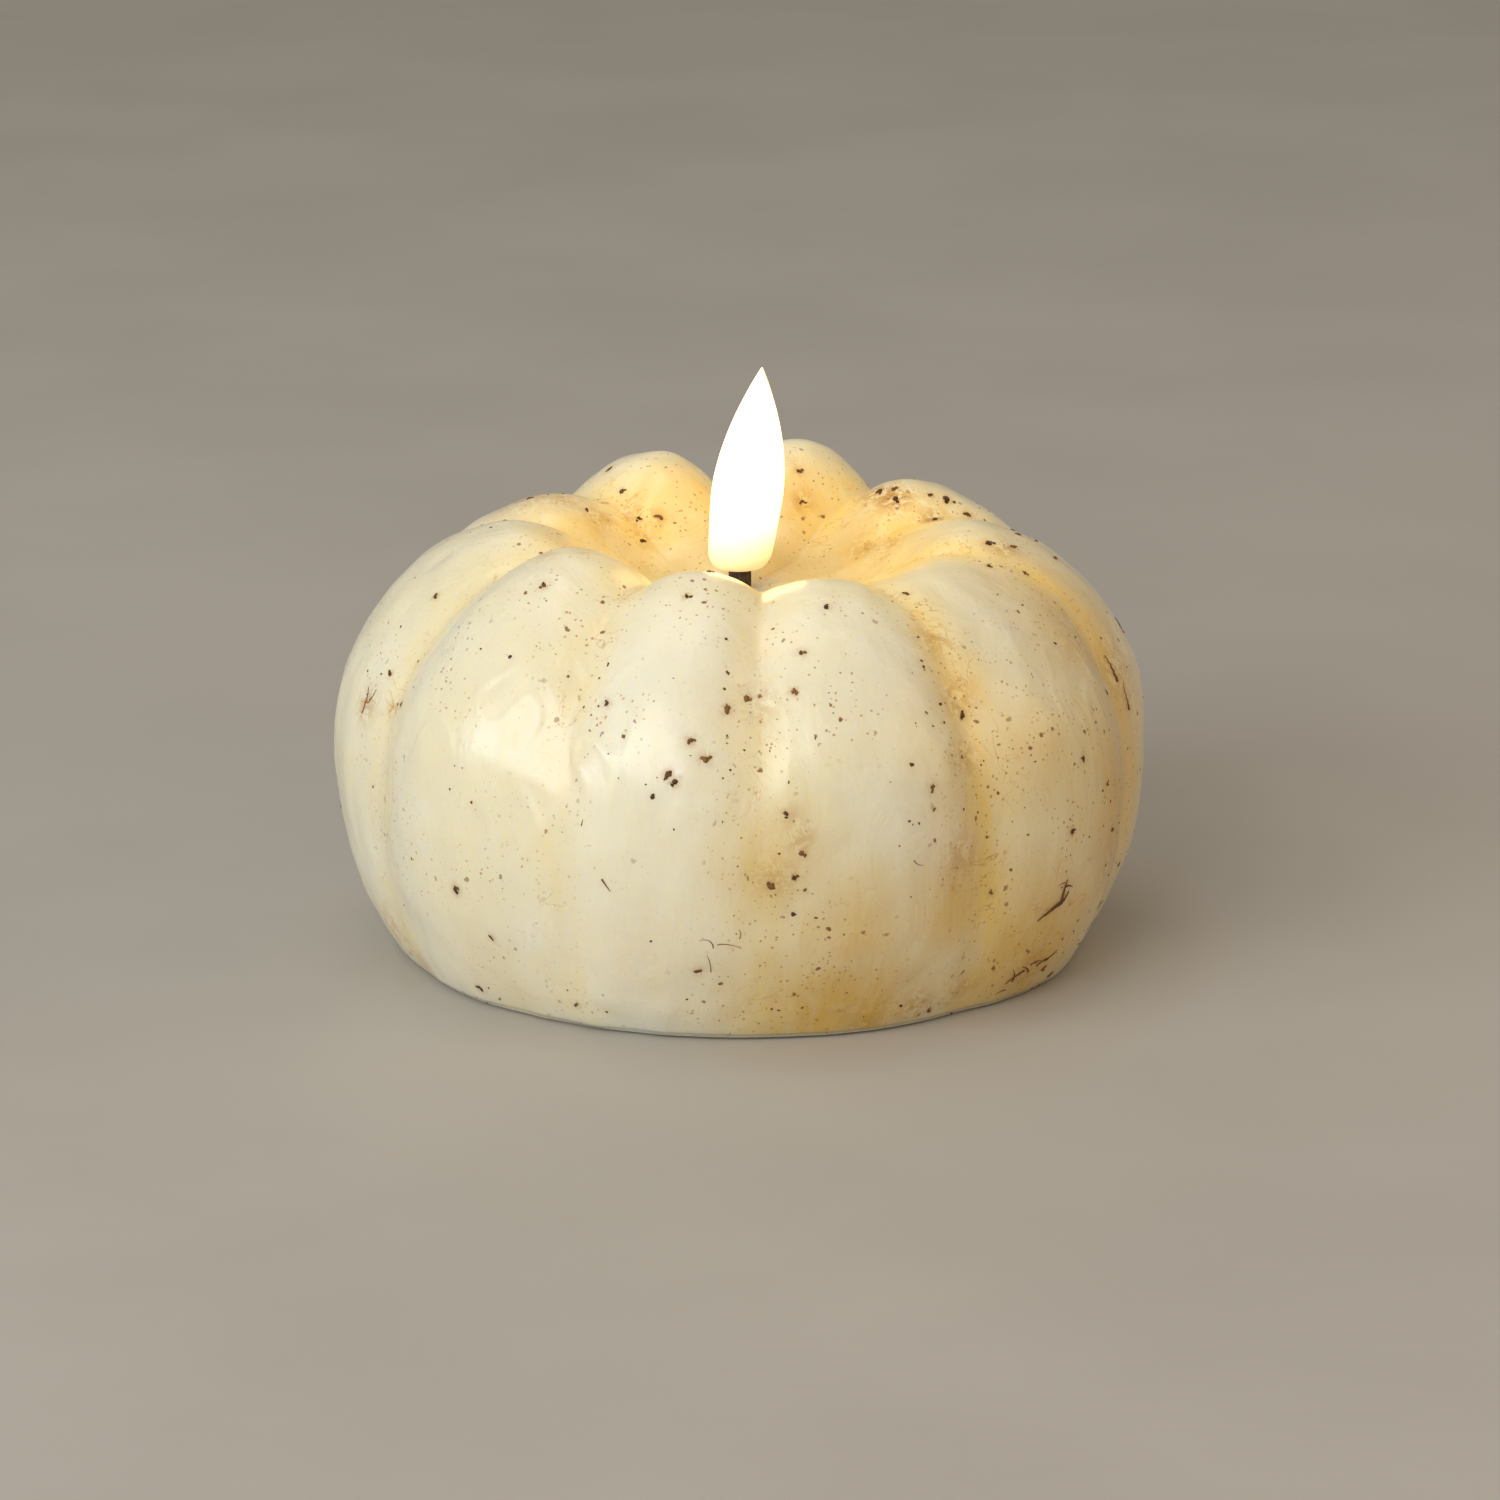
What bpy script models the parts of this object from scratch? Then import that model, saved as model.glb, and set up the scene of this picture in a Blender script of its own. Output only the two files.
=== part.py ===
"""Flameless pumpkin candle: a hollow wax pumpkin around a plastic base with two AA cells.

Frame: +Z up, front towards -Y, origin on the surface the candle stands on, at the middle of its box.
All named sizes are in millimetres and become metres through MM.
"""
import math

import bmesh
import bpy
from mathutils import Matrix, Vector

MM = 0.001
GAP = 0.3                     # kept between neighbouring pieces

# Wax body. Each profile runs from the bottom edge, over the shoulder and down to the stem hole.
CREST_PROFILE = [(46.4, 0.3), (49.7, 6), (53.0, 15), (54.2, 27), (52.6, 38.3), (47.0, 47.8),
                 (39.6, 54.4), (31.0, 57.6), (23.6, 55.8), (18.4, 51.2), (14.5, 48.3), (8, 47.5)]
VALLEY_PROFILE = [(45.4, 0.3), (48.0, 6), (50.6, 15), (51.4, 27), (49.3, 37.8), (44.0, 46.8),
                  (37.0, 52.2), (29.6, 54.0), (22.4, 52.6), (17.8, 50.0), (14.2, 48.1), (8, 47.5)]
CAVITY_PROFILE = [(14, 44), (20, 45.4), (28, 47.6), (34, 46.3), (39.5, 42.3), (43.3, 36), (45.2, 27),
                  (44.2, 15), (41.6, 5), (39.8, 0.3)]
# Valley directions in degrees from the front, turning towards +X, and each lobe's extra height.
LOBE_VALLEYS = [4.5, 36.5, 77, 116, 149, 184, 221, 253, 297, 333.5]
LOBE_HEIGHTS = [-1.6, -3.2, -2.0, -0.2, 3.1, 1.9, -1.5, -0.6, 0.6, -0.4]
# Share of each valley's depth that is left near its foot; it is at its full depth on the shoulder.
VALLEY_FOOT_DEPTHS = [0.25, 0.75, 0.8, 0.7, 0.7, 0.7, 0.7, 0.7, 0.5, 0.4]
FOOT_DEPTH_HEIGHT = 22.0
FULL_DEPTH_HEIGHT = 47.0
LOBE_STEPS = [-1.0, -0.8, -0.45, 0.0, 0.45, 0.8]
LOBE_ROUNDNESS = 2.3
VALLEY_SOFTNESS = 0.12
HEIGHT_STARTS = 30.0
HEIGHT_BLEND = 25.0
OUTER_RINGS = 27
WELL_FLOOR = 47.5
WELL_CEILING = 44.0
STEM_HOLE_RADIUS = 1.8

# Base plate
PLATE_LOW = 0.8
PLATE_HIGH = 2.6
PLATE_RADIUS = 39.2
SKIRT_INNER = 37.4
SKIRT_TOP = 9.0
FOOT_INNER = 35.6
FOOT_OUTER = 38.4
FOOT_ROUNDING = 0.4

# Cells: two AA, lying along X side by side
CELL_RADIUS = 7.25
CELL_LENGTH = 50.5
CELL_BODY = 49.3
CELL_ROUNDING = 0.7
NUB_RADIUS = 2.75
CELL_Y = 7.6
CELL_Z = 10.45

# Battery box over the cells
BOX_INNER_X = 29.0
BOX_INNER_Y = 15.5
BOX_WALL = 1.5
BOX_LOW = PLATE_HIGH + GAP
BOX_CEILING = 18.2
BOX_TOP = 19.7
CONTACT_FACE = BOX_INNER_X - GAP
CONTACT_THICKNESS = 0.4
CONTACT_BACK = CONTACT_FACE - CONTACT_THICKNESS
CELL_END = CONTACT_BACK - GAP
CONTACT_HALF_WIDTH = 6.0
CONTACT_LOW = 5.0
CONTACT_HIGH = 16.0
TAB_HALF_WIDTH = 1.4
TAB_TOP = 22.0
DIVIDER_HALF_X = 24.0
DIVIDER_HALF_Y = 1.0
DIVIDER_LOW = 15.0
SPRING_WIRE = 0.35
SPRING_TURNS = 2.5
SPRING_WIDE = 5.2
SPRING_NARROW = 3.2
SPRING_POINTS = 31

# Battery door and its hinge pegs
DOOR_HALF_WIDTH = 16.5
DOOR_LATCH_X = -30.0
DOOR_THICKNESS = PLATE_HIGH - PLATE_LOW
DOOR_MIDDLE_Z = (PLATE_LOW + PLATE_HIGH) / 2
HINGE_X = 28.6
HINGE_END_RADIUS = DOOR_THICKNESS / 2
HINGE_END_STEPS = 6
PEG_RADIUS = 0.6
PEG_END_Y = 19.6
PEG_SLOT_END_Y = 20.0
HINGE_BOSS_HALF_X = 2.0
HINGE_BOSS_TOP = 4.4
TONGUE_HALF_WIDTH = 4.2
TONGUE_LENGTH = 8.0
TONGUE_SLIT = 0.8
LATCH_TAB_REACH = 1.4
LATCH_TAB_HALF_WIDTH = 3.0
NOTCH_RADIUS = 4.6
NOTCH_TOP = 1.9

# Screws
BOX_SCREW_PLACES = [(22, 20.8), (-22, 20.8), (22, -20.8), (-22, -20.8)]
BOSS_RADIUS = 3.4
BOSS_TOP = 5.4
LUG_RADIUS = 3.2
LUG_TOP = 10.2
SCREW_SHANK = 0.85
SCREW_HOLE = SCREW_SHANK + GAP
COUNTERBORE_RADIUS = 2.4
COUNTERBORE_TOP = 2.8
BASE_SCREW_HEAD = 2.1
BOARD_SCREW_PLACES = [(11.5, -28.2), (-11.5, -28.2)]
BOARD_BOSS_RADIUS = 2.2
BOARD_SCREW_HEAD = 1.8

# Control board and what stands on it
BOARD_LOW = 6.5
BOARD_HIGH = 7.7
BOARD_HALF_X = 15.0
BOARD_BACK_Y = -18.9
BOARD_FRONT_Y = -31.3
ON_BOARD = BOARD_HIGH + GAP
CHIP_PLACE = (-4.0, -27.4)
CHIP_HALF_X = 2.5
CHIP_HALF_Y = 1.9
CHIP_HEIGHT = 1.6
LEG_PITCH = 1.27
LEG_HALF_X = 0.2
LEG_REACH = 2.9
LEG_HEIGHT = 0.3
CRYSTAL_PLACE = (4.2, -28.6)
CRYSTAL_RADIUS = 1.6
CRYSTAL_HEIGHT = 4.5
CAPACITOR_PLACE = (-11.0, -22.6)
CAPACITOR_RADIUS = 2.5
CAPACITOR_HEIGHT = 6.5
CAPACITOR_SIDES = 20
RESISTOR_PLACES = [(8.2, -26.0), (8.2, -29.4)]
RESISTOR_HALF_X = 1.6
RESISTOR_HALF_Y = 0.8
RESISTOR_HEIGHT = 0.6

# Slide switch, seen through a slot in the base plate. At rest the knob is at its "on" end.
SWITCH_Y = -25.0
SWITCH_TRAVEL = 4.0
KNOB_REST_X = -SWITCH_TRAVEL / 2
KNOB_HALF_X = 1.5
KNOB_HALF_Y = 1.0
KNOB_LOW = 0.3
SHOE_HALF_X = 1.7
SHOE_HALF_Y = 1.5
SHOE_LOW = 3.6
SHOE_HIGH = 5.0
SWITCH_HALF_X = 4.5
SWITCH_HALF_Y = 2.3
SWITCH_LOW = 3.1
SWITCH_HIGH = 6.2
SWITCH_WALL_X = 0.6
SWITCH_WALL_Y = 0.5
SWITCH_ROOF = 5.4
SLOT_HALF_X = 3.9
SLOT_HALF_Y = 1.3

# Stem, LED and flame
STEM_RADIUS = 1.5
STEM_BORE = 1.05
STEM_LOW = 36.0
STEM_TOP = 52.0
FLANGE_RADIUS = 6.0
FLANGE_THICKNESS = 1.5
LED_LOW = 52.6
LED_RADIUS = 1.45
LED_COLLAR_RADIUS = 1.7
LED_COLLAR_HEIGHT = 0.8
LED_TIP = 57.6
LEAD_X = 0.5
LEAD_HALF = 0.2
LEAD_LOW = 45.5
FLAME_LOW = 50.4
FLAME_HEIGHT = 27.0
FLAME_HALF_WIDTH = 4.75
FLAME_DEPTH_RATIO = 0.92
FLAME_FOOT = -0.2             # the bulb's base stands a little off the stem's axis
FLAME_LEAN = 3.1
FLAME_WALL = 1.0
FLAME_HOLE = STEM_RADIUS + GAP
# Share of the flame's half width at each share of its height
FLAME_OUTLINE = [(0.0, 0.55), (0.012, 0.70), (0.04, 0.82), (0.07, 0.88), (0.14, 0.92), (0.26, 0.965),
                 (0.39, 1.0), (0.51, 0.945), (0.64, 0.80), (0.77, 0.58), (0.90, 0.29), (0.965, 0.12),
                 (1.0, 0.02)]
FLAME_SEGMENTS = 20

# Wires
LED_WIRE_RADIUS = 0.35
BATTERY_WIRE_RADIUS = 0.55
WIRE_POINTS = 22

PLATE_SIDES = 56
ROUND = 24                    # sides of a round piece
SMALL_ROUND = 16              # sides of a screw, boss or bore


# Blender helpers

def clear_scene():
    for item in list(bpy.data.objects):
        bpy.data.objects.remove(item, do_unlink=True)


def make_material(name, colour, roughness, metallic=0.0):
    material = bpy.data.materials.new(name)
    material.use_nodes = True
    shader = material.node_tree.nodes["Principled BSDF"]
    shader.inputs["Base Color"].default_value = (*colour, 1.0)
    shader.inputs["Roughness"].default_value = roughness
    shader.inputs["Metallic"].default_value = metallic
    return material


def add_object(name, mesh, material):
    piece = bpy.data.objects.new(name, mesh)
    bpy.context.scene.collection.objects.link(piece)
    if material:
        piece.data.materials.append(material)
    return piece


def mesh_from(vertices, faces, smooth_angle=None):
    """Build a mesh from millimetre points, with its faces turned outwards."""
    mesh = bpy.data.meshes.new("mesh")
    mesh.from_pydata([Vector(point) * MM for point in vertices], [], faces)
    work = bmesh.new()
    work.from_mesh(mesh)
    bmesh.ops.recalc_face_normals(work, faces=work.faces)
    work.to_mesh(mesh)
    work.free()
    if smooth_angle:
        mesh.shade_smooth()
        mesh.set_sharp_from_angle(angle=math.radians(smooth_angle))
    return mesh


def ring_faces(start, following, count):
    """Quads between two rings of points that each have count points."""
    return [(start + i, start + (i + 1) % count, following + (i + 1) % count, following + i)
            for i in range(count)]


def turned_mesh(outline, sides, centre=(0, 0, 0)):
    """Turn an outline of (radius, height) about Z. An end at radius 0 becomes one flat face."""
    closed = all(radius > 0 for radius, _ in outline)
    rings = [point for point in outline if point[0] > 0]
    vertices = []
    for radius, height in rings:
        for i in range(sides):
            angle = math.tau * i / sides
            vertices.append((centre[0] + radius * math.cos(angle),
                             centre[1] + radius * math.sin(angle), centre[2] + height))
    faces = []
    for i in range(len(rings) - 1):
        faces += ring_faces(i * sides, (i + 1) * sides, sides)
    last = (len(rings) - 1) * sides
    if closed:
        faces += ring_faces(last, 0, sides)
    else:
        faces += [tuple(range(sides)), tuple(range(last, last + sides))]
    return mesh_from(vertices, faces, smooth_angle=35)


def turned(name, outline, material, sides=ROUND, centre=(0, 0, 0)):
    return add_object(name, turned_mesh(outline, sides, centre), material)


def post_outline(radius, low, high):
    return [(0, low), (radius, low), (radius, high), (0, high)]


def post(name, place, radius, low, high, material=None, sides=SMALL_ROUND):
    return turned(name, post_outline(radius, low, high), material, sides, (*place, 0))


def block(name, low, high, material=None):
    corners = [(x, y, z) for x in (low[0], high[0]) for y in (low[1], high[1])
               for z in (low[2], high[2])]
    faces = [(0, 1, 3, 2), (4, 6, 7, 5), (0, 4, 5, 1), (2, 3, 7, 6), (0, 2, 6, 4), (1, 5, 7, 3)]
    return add_object(name, mesh_from(corners, faces), material)


def extruded(name, outline, low, high, axis, material=None):
    """Extrude a closed outline along X or Y; the outline gives the other two coordinates."""
    def place(point, depth):
        return (depth, *point) if axis == "X" else (point[0], depth, point[1])
    count = len(outline)
    vertices = [place(point, low) for point in outline] + [place(point, high) for point in outline]
    faces = ring_faces(0, count, count) + [tuple(range(count)), tuple(range(count, 2 * count))]
    return add_object(name, mesh_from(vertices, faces), material)


def combine(target, tool, operation):
    """Apply one Boolean to target and remove the tool."""
    tool.hide_render = True
    tool.display_type = 'WIRE'
    modifier = target.modifiers.new(operation.lower(), 'BOOLEAN')
    modifier.operation = operation
    modifier.solver = 'EXACT'
    modifier.object = tool
    bpy.context.view_layer.update()
    evaluated = target.evaluated_get(bpy.context.evaluated_depsgraph_get())
    mesh = bpy.data.meshes.new_from_object(evaluated)
    target.modifiers.clear()
    target.data = mesh
    bpy.data.objects.remove(tool, do_unlink=True)


def cut(target, tool):
    combine(target, tool, 'DIFFERENCE')


def join(target, tool):
    combine(target, tool, 'UNION')


def smooth_curve(points, count):
    """Catmull-Rom curve through points, read at count places."""
    points = [Vector(point) for point in points]
    first = 2 * points[0] - points[1]
    last = 2 * points[-1] - points[-2]
    line = [first, *points, last]
    result = []
    for step in range(count):
        place = step * (len(points) - 1) / (count - 1)
        i = min(int(place), len(points) - 2)
        t = place - i
        a, b, c, d = line[i:i + 4]
        result.append(0.5 * (2 * b + (c - a) * t + (2 * a - 5 * b + 4 * c - d) * t ** 2
                             + (3 * b - a - 3 * c + d) * t ** 3))
    return result


def tube(name, points, radius, material, resolution=2):
    """A round wire along millimetre points, with filled ends."""
    curve = bpy.data.curves.new(name, 'CURVE')
    curve.dimensions = '3D'
    curve.bevel_depth = radius * MM
    curve.bevel_resolution = resolution
    curve.use_fill_caps = True
    spline = curve.splines.new('POLY')
    spline.points.add(len(points) - 1)
    for point, target in zip(points, spline.points):
        target.co = (*(Vector(point) * MM), 1.0)
    curve.materials.append(material)
    piece = bpy.data.objects.new(name, curve)
    bpy.context.scene.collection.objects.link(piece)
    return piece


# Wax body

def lobe_bulge(position):
    """0 in a valley, 1 on a crest; position runs from -1 to 1 across a lobe."""
    edge = 1 - abs(position)
    top = math.sqrt(1 + VALLEY_SOFTNESS ** 2) - VALLEY_SOFTNESS
    edge = (math.sqrt(edge ** 2 + VALLEY_SOFTNESS ** 2) - VALLEY_SOFTNESS) / top
    return 1 - (1 - edge) ** LOBE_ROUNDNESS


def lobe_directions():
    """Azimuth, bulge, extra height and foot depth for each vertical line of the wax surface."""
    lines = []
    for i, start in enumerate(LOBE_VALLEYS):
        following = (i + 1) % len(LOBE_VALLEYS)
        end = LOBE_VALLEYS[following]
        if end < start:
            end += 360
        for position in LOBE_STEPS:
            azimuth = start + (end - start) * (position + 1) / 2
            foot_depth = VALLEY_FOOT_DEPTHS[i if position < 0 else following]
            lines.append((math.radians(azimuth), lobe_bulge(position), LOBE_HEIGHTS[i], foot_depth))
    return lines


def valley_depth(foot_depth, level):
    """Share of a valley's depth at a level, smooth from its foot to the shoulder."""
    share = (level - FOOT_DEPTH_HEIGHT) / (FULL_DEPTH_HEIGHT - FOOT_DEPTH_HEIGHT)
    share = min(max(share, 0), 1)
    return foot_depth + (1 - foot_depth) * share ** 2 * (3 - 2 * share)


def outer_point(crest, valley, direction):
    azimuth, bulge, height, foot_depth = direction
    bulge = 1 - (1 - bulge) * valley_depth(foot_depth, valley.y)
    radius = valley.x + (crest.x - valley.x) * bulge
    level = valley.y + (crest.y - valley.y) * bulge
    lift = min(max((level - HEIGHT_STARTS) / HEIGHT_BLEND, 0), 1)
    return Vector((radius * math.sin(azimuth), -radius * math.cos(azimuth),
                   level + height * bulge * lift))


def centred(rings):
    """Shift the outer rings so that their box is centred on the axis; the well stays in place."""
    xs = [point.x for ring in rings for point in ring]
    ys = [point.y for ring in rings for point in ring]
    shift = Vector(((max(xs) + min(xs)) / 2, (max(ys) + min(ys)) / 2, 0))
    widest = max(xs) - shift.x
    result = []
    for ring in rings:
        size = max(point.xy.length for point in ring) / widest
        result.append([point - shift * min(1, size ** 2 * 1.6) for point in ring])
    return result


def make_wax_shell(material):
    directions = lobe_directions()
    crests = smooth_curve([(r, z, 0) for r, z in CREST_PROFILE], OUTER_RINGS)
    valleys = smooth_curve([(r, z, 0) for r, z in VALLEY_PROFILE], OUTER_RINGS)
    rings = centred([[outer_point(crest, valley, direction) for direction in directions]
                     for crest, valley in zip(crests, valleys)])
    inner = [(STEM_HOLE_RADIUS, WELL_FLOOR), (STEM_HOLE_RADIUS, WELL_CEILING), *CAVITY_PROFILE]
    for radius, level in inner:
        rings.append([Vector((radius * math.sin(azimuth), -radius * math.cos(azimuth), level))
                      for azimuth, *_ in directions])
    count = len(directions)
    vertices = [point for ring in rings for point in ring]
    faces = []
    for i in range(len(rings)):
        faces += ring_faces(i * count, (i + 1) % len(rings) * count, count)
    return add_object("wax_shell", mesh_from(vertices, faces, smooth_angle=50), material)


# Plastic base

def make_base_plate(material):
    outline = [(0, PLATE_LOW), (FOOT_INNER, PLATE_LOW), (FOOT_INNER, 0), (FOOT_OUTER, 0),
               (FOOT_OUTER + FOOT_ROUNDING, FOOT_ROUNDING), (PLATE_RADIUS, PLATE_LOW),
               (PLATE_RADIUS, SKIRT_TOP), (SKIRT_INNER, SKIRT_TOP), (SKIRT_INNER, PLATE_HIGH),
               (0, PLATE_HIGH)]
    plate = turned("base_plate", outline, material, PLATE_SIDES)
    for place in BOX_SCREW_PLACES:
        join(plate, post("boss", place, BOSS_RADIUS, PLATE_LOW + 0.5, BOSS_TOP))
        cut(plate, post("bore", place, COUNTERBORE_RADIUS, -1, COUNTERBORE_TOP))
        cut(plate, post("bore", place, SCREW_HOLE, COUNTERBORE_TOP - 1, BOSS_TOP + 1))
    for place in BOARD_SCREW_PLACES:
        join(plate, post("boss", place, BOARD_BOSS_RADIUS, PLATE_LOW + 0.5, BOARD_LOW - GAP))
        cut(plate, post("bore", place, SCREW_HOLE, PLATE_HIGH + 0.9, BOARD_LOW + 1))
    cut_door_opening(plate)
    cut(plate, block("slot", (-SLOT_HALF_X, SWITCH_Y - SLOT_HALF_Y, -1),
                     (SLOT_HALF_X, SWITCH_Y + SLOT_HALF_Y, PLATE_HIGH + 1)))
    return plate


def cut_door_opening(plate):
    half_width = DOOR_HALF_WIDTH + GAP
    hinge_edge = HINGE_X + HINGE_END_RADIUS + GAP
    for side in (-1, 1):
        ends = sorted((side * (DOOR_HALF_WIDTH + 0.8), side * (PEG_SLOT_END_Y + 1)))
        join(plate, block("hinge_boss", (HINGE_X - HINGE_BOSS_HALF_X, ends[0], PLATE_LOW + 0.5),
                          (HINGE_X + HINGE_BOSS_HALF_X, ends[1], HINGE_BOSS_TOP)))
    cut(plate, block("peg_slot", (HINGE_X - PEG_RADIUS - GAP, -PEG_SLOT_END_Y, -1),
                     (HINGE_X + PEG_RADIUS + GAP, PEG_SLOT_END_Y, PLATE_HIGH + 0.1)))
    cut(plate, post("finger_notch", (DOOR_LATCH_X, 0), NOTCH_RADIUS, -1, NOTCH_TOP, None, ROUND))
    cut(plate, block("opening", (DOOR_LATCH_X - GAP, -half_width, -1),
                     (hinge_edge, half_width, PLATE_HIGH + 1)))


def make_battery_box(material):
    outer_x = BOX_INNER_X + BOX_WALL
    outer_y = BOX_INNER_Y + BOX_WALL
    box = block("battery_box", (-outer_x, -outer_y, BOX_LOW), (outer_x, outer_y, BOX_TOP), material)
    for x, y in BOX_SCREW_PLACES:
        wall_y = math.copysign(BOX_INNER_Y + BOX_WALL / 2, y)
        ends = sorted((wall_y, y))
        join(box, block("lug", (x - LUG_RADIUS, ends[0], BOSS_TOP + GAP),
                        (x + LUG_RADIUS, ends[1], LUG_TOP)))
        join(box, post("lug", (x, y), LUG_RADIUS, BOSS_TOP + GAP, LUG_TOP))
        cut(box, post("pilot", (x, y), SCREW_HOLE, BOSS_TOP, LUG_TOP - 0.8))
    cut(box, block("cavity", (-BOX_INNER_X, -BOX_INNER_Y, BOX_LOW - 1),
                   (BOX_INNER_X, BOX_INNER_Y, BOX_CEILING)))
    join(box, block("divider", (-DIVIDER_HALF_X, -DIVIDER_HALF_Y, DIVIDER_LOW),
                    (DIVIDER_HALF_X, DIVIDER_HALF_Y, BOX_CEILING + 0.5)))
    for side in (-1, 1):
        centre = side * CELL_Y
        reach = TAB_HALF_WIDTH + GAP
        cut(box, block("tab_slot", (CONTACT_BACK - GAP, centre - reach, BOX_CEILING - 1),
                       (BOX_INNER_X, centre + reach, BOX_TOP + 1)))
    return box


def make_battery_door(material, pivot):
    steps = HINGE_END_STEPS
    outline = [(DOOR_LATCH_X, PLATE_LOW), (HINGE_X, PLATE_LOW)]
    outline += [(HINGE_X + HINGE_END_RADIUS * math.sin(math.pi * i / steps),
                 DOOR_MIDDLE_Z - HINGE_END_RADIUS * math.cos(math.pi * i / steps))
                for i in range(1, steps)]
    outline += [(HINGE_X, PLATE_HIGH), (DOOR_LATCH_X, PLATE_HIGH)]
    door = extruded("battery_door", outline, -DOOR_HALF_WIDTH, DOOR_HALF_WIDTH, "Y", material)
    peg = turned("peg", post_outline(PEG_RADIUS, -PEG_END_Y, PEG_END_Y), None, SMALL_ROUND)
    peg.data.transform(Matrix.Translation((HINGE_X * MM, 0, DOOR_MIDDLE_Z * MM))
                       @ Matrix.Rotation(math.pi / 2, 4, 'X'))
    join(door, peg)
    for side in (-1, 1):
        ends = sorted((side * TONGUE_HALF_WIDTH, side * (TONGUE_HALF_WIDTH + TONGUE_SLIT)))
        cut(door, block("slit", (DOOR_LATCH_X - 1, ends[0], 0),
                        (DOOR_LATCH_X + TONGUE_LENGTH, ends[1], PLATE_HIGH + 1)))
    join(door, block("tab", (DOOR_LATCH_X - LATCH_TAB_REACH, -LATCH_TAB_HALF_WIDTH, PLATE_LOW),
                     (DOOR_LATCH_X + 1, LATCH_TAB_HALF_WIDTH, NOTCH_TOP - GAP)))
    door.data.transform(Matrix.Translation((-HINGE_X * MM, 0, -DOOR_MIDDLE_Z * MM)))
    door.parent = pivot
    return door


# Cells and contacts

def cell_outline():
    flat = CELL_RADIUS - CELL_ROUNDING
    return [(0, 0), (flat, 0), (CELL_RADIUS, CELL_ROUNDING), (CELL_RADIUS, CELL_BODY - CELL_ROUNDING),
            (flat, CELL_BODY), (NUB_RADIUS, CELL_BODY), (NUB_RADIUS, CELL_LENGTH), (0, CELL_LENGTH)]


def make_cell(name, material, side):
    """side +1 points the cell's nub towards +X; the other cell points the other way."""
    cell = turned(name, cell_outline(), material, ROUND)
    turn = Matrix.Rotation(side * math.pi / 2, 4, 'Y')
    start = Vector((side * (CELL_END - CELL_LENGTH), -side * CELL_Y, CELL_Z)) * MM
    cell.data.transform(Matrix.Translation(start) @ turn)
    return cell


def make_end_contact(name, material, centre):
    """A flat contact with a solder tab that comes up through the box's ceiling."""
    left = centre - CONTACT_HALF_WIDTH
    right = centre + CONTACT_HALF_WIDTH
    outline = [(left, CONTACT_LOW), (right, CONTACT_LOW), (right, CONTACT_HIGH),
               (centre + TAB_HALF_WIDTH, CONTACT_HIGH), (centre + TAB_HALF_WIDTH, TAB_TOP),
               (centre - TAB_HALF_WIDTH, TAB_TOP), (centre - TAB_HALF_WIDTH, CONTACT_HIGH),
               (left, CONTACT_HIGH)]
    return extruded(name, outline, CONTACT_BACK, CONTACT_FACE, "X", material)


def make_contact_bridge(material):
    reach = CELL_Y + CONTACT_HALF_WIDTH
    outline = [(-reach, CONTACT_LOW), (reach, CONTACT_LOW), (reach, CONTACT_HIGH),
               (-reach, CONTACT_HIGH)]
    return extruded("contact_bridge", outline, -CONTACT_FACE, -CONTACT_BACK, "X", material)


def make_spring(name, material, side):
    """Conical contact spring on the plate at side * X, narrowing towards its cell."""
    start = CELL_END - SPRING_WIRE
    end = CELL_LENGTH - CELL_END + GAP + SPRING_WIRE
    points = []
    for i in range(SPRING_POINTS):
        share = i / (SPRING_POINTS - 1)
        radius = SPRING_WIDE + (SPRING_NARROW - SPRING_WIDE) * share
        angle = math.tau * SPRING_TURNS * share
        points.append((side * (start + (end - start) * share),
                       side * CELL_Y + radius * math.cos(angle), CELL_Z + radius * math.sin(angle)))
    return tube(name, points, SPRING_WIRE, material, resolution=1)


# Electronics

def make_control_board(material):
    board = block("control_board", (-BOARD_HALF_X, BOARD_FRONT_Y, BOARD_LOW),
                  (BOARD_HALF_X, BOARD_BACK_Y, BOARD_HIGH), material)
    for place in BOARD_SCREW_PLACES:
        cut(board, post("hole", place, SCREW_HOLE, BOARD_LOW - 1, BOARD_HIGH + 1))
    return board


def make_timer_chip(material):
    """An eight-leg chip with its legs along its two long sides."""
    x, y = CHIP_PLACE
    chip = block("timer_chip", (x - CHIP_HALF_X, y - CHIP_HALF_Y, ON_BOARD + 0.1),
                 (x + CHIP_HALF_X, y + CHIP_HALF_Y, ON_BOARD + CHIP_HEIGHT), material)
    for i in range(4):
        leg_x = x + (i - 1.5) * LEG_PITCH
        join(chip, block("leg", (leg_x - LEG_HALF_X, y - LEG_REACH, ON_BOARD),
                         (leg_x + LEG_HALF_X, y + LEG_REACH, ON_BOARD + LEG_HEIGHT)))
    return chip


def make_crystal(material):
    return post("crystal", CRYSTAL_PLACE, CRYSTAL_RADIUS, ON_BOARD, ON_BOARD + CRYSTAL_HEIGHT, material)


def make_capacitor(material):
    return post("capacitor", CAPACITOR_PLACE, CAPACITOR_RADIUS, ON_BOARD, ON_BOARD + CAPACITOR_HEIGHT,
                material, CAPACITOR_SIDES)


def make_resistor(name, material, place):
    x, y = place
    return block(name, (x - RESISTOR_HALF_X, y - RESISTOR_HALF_Y, ON_BOARD),
                 (x + RESISTOR_HALF_X, y + RESISTOR_HALF_Y, ON_BOARD + RESISTOR_HEIGHT), material)


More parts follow.
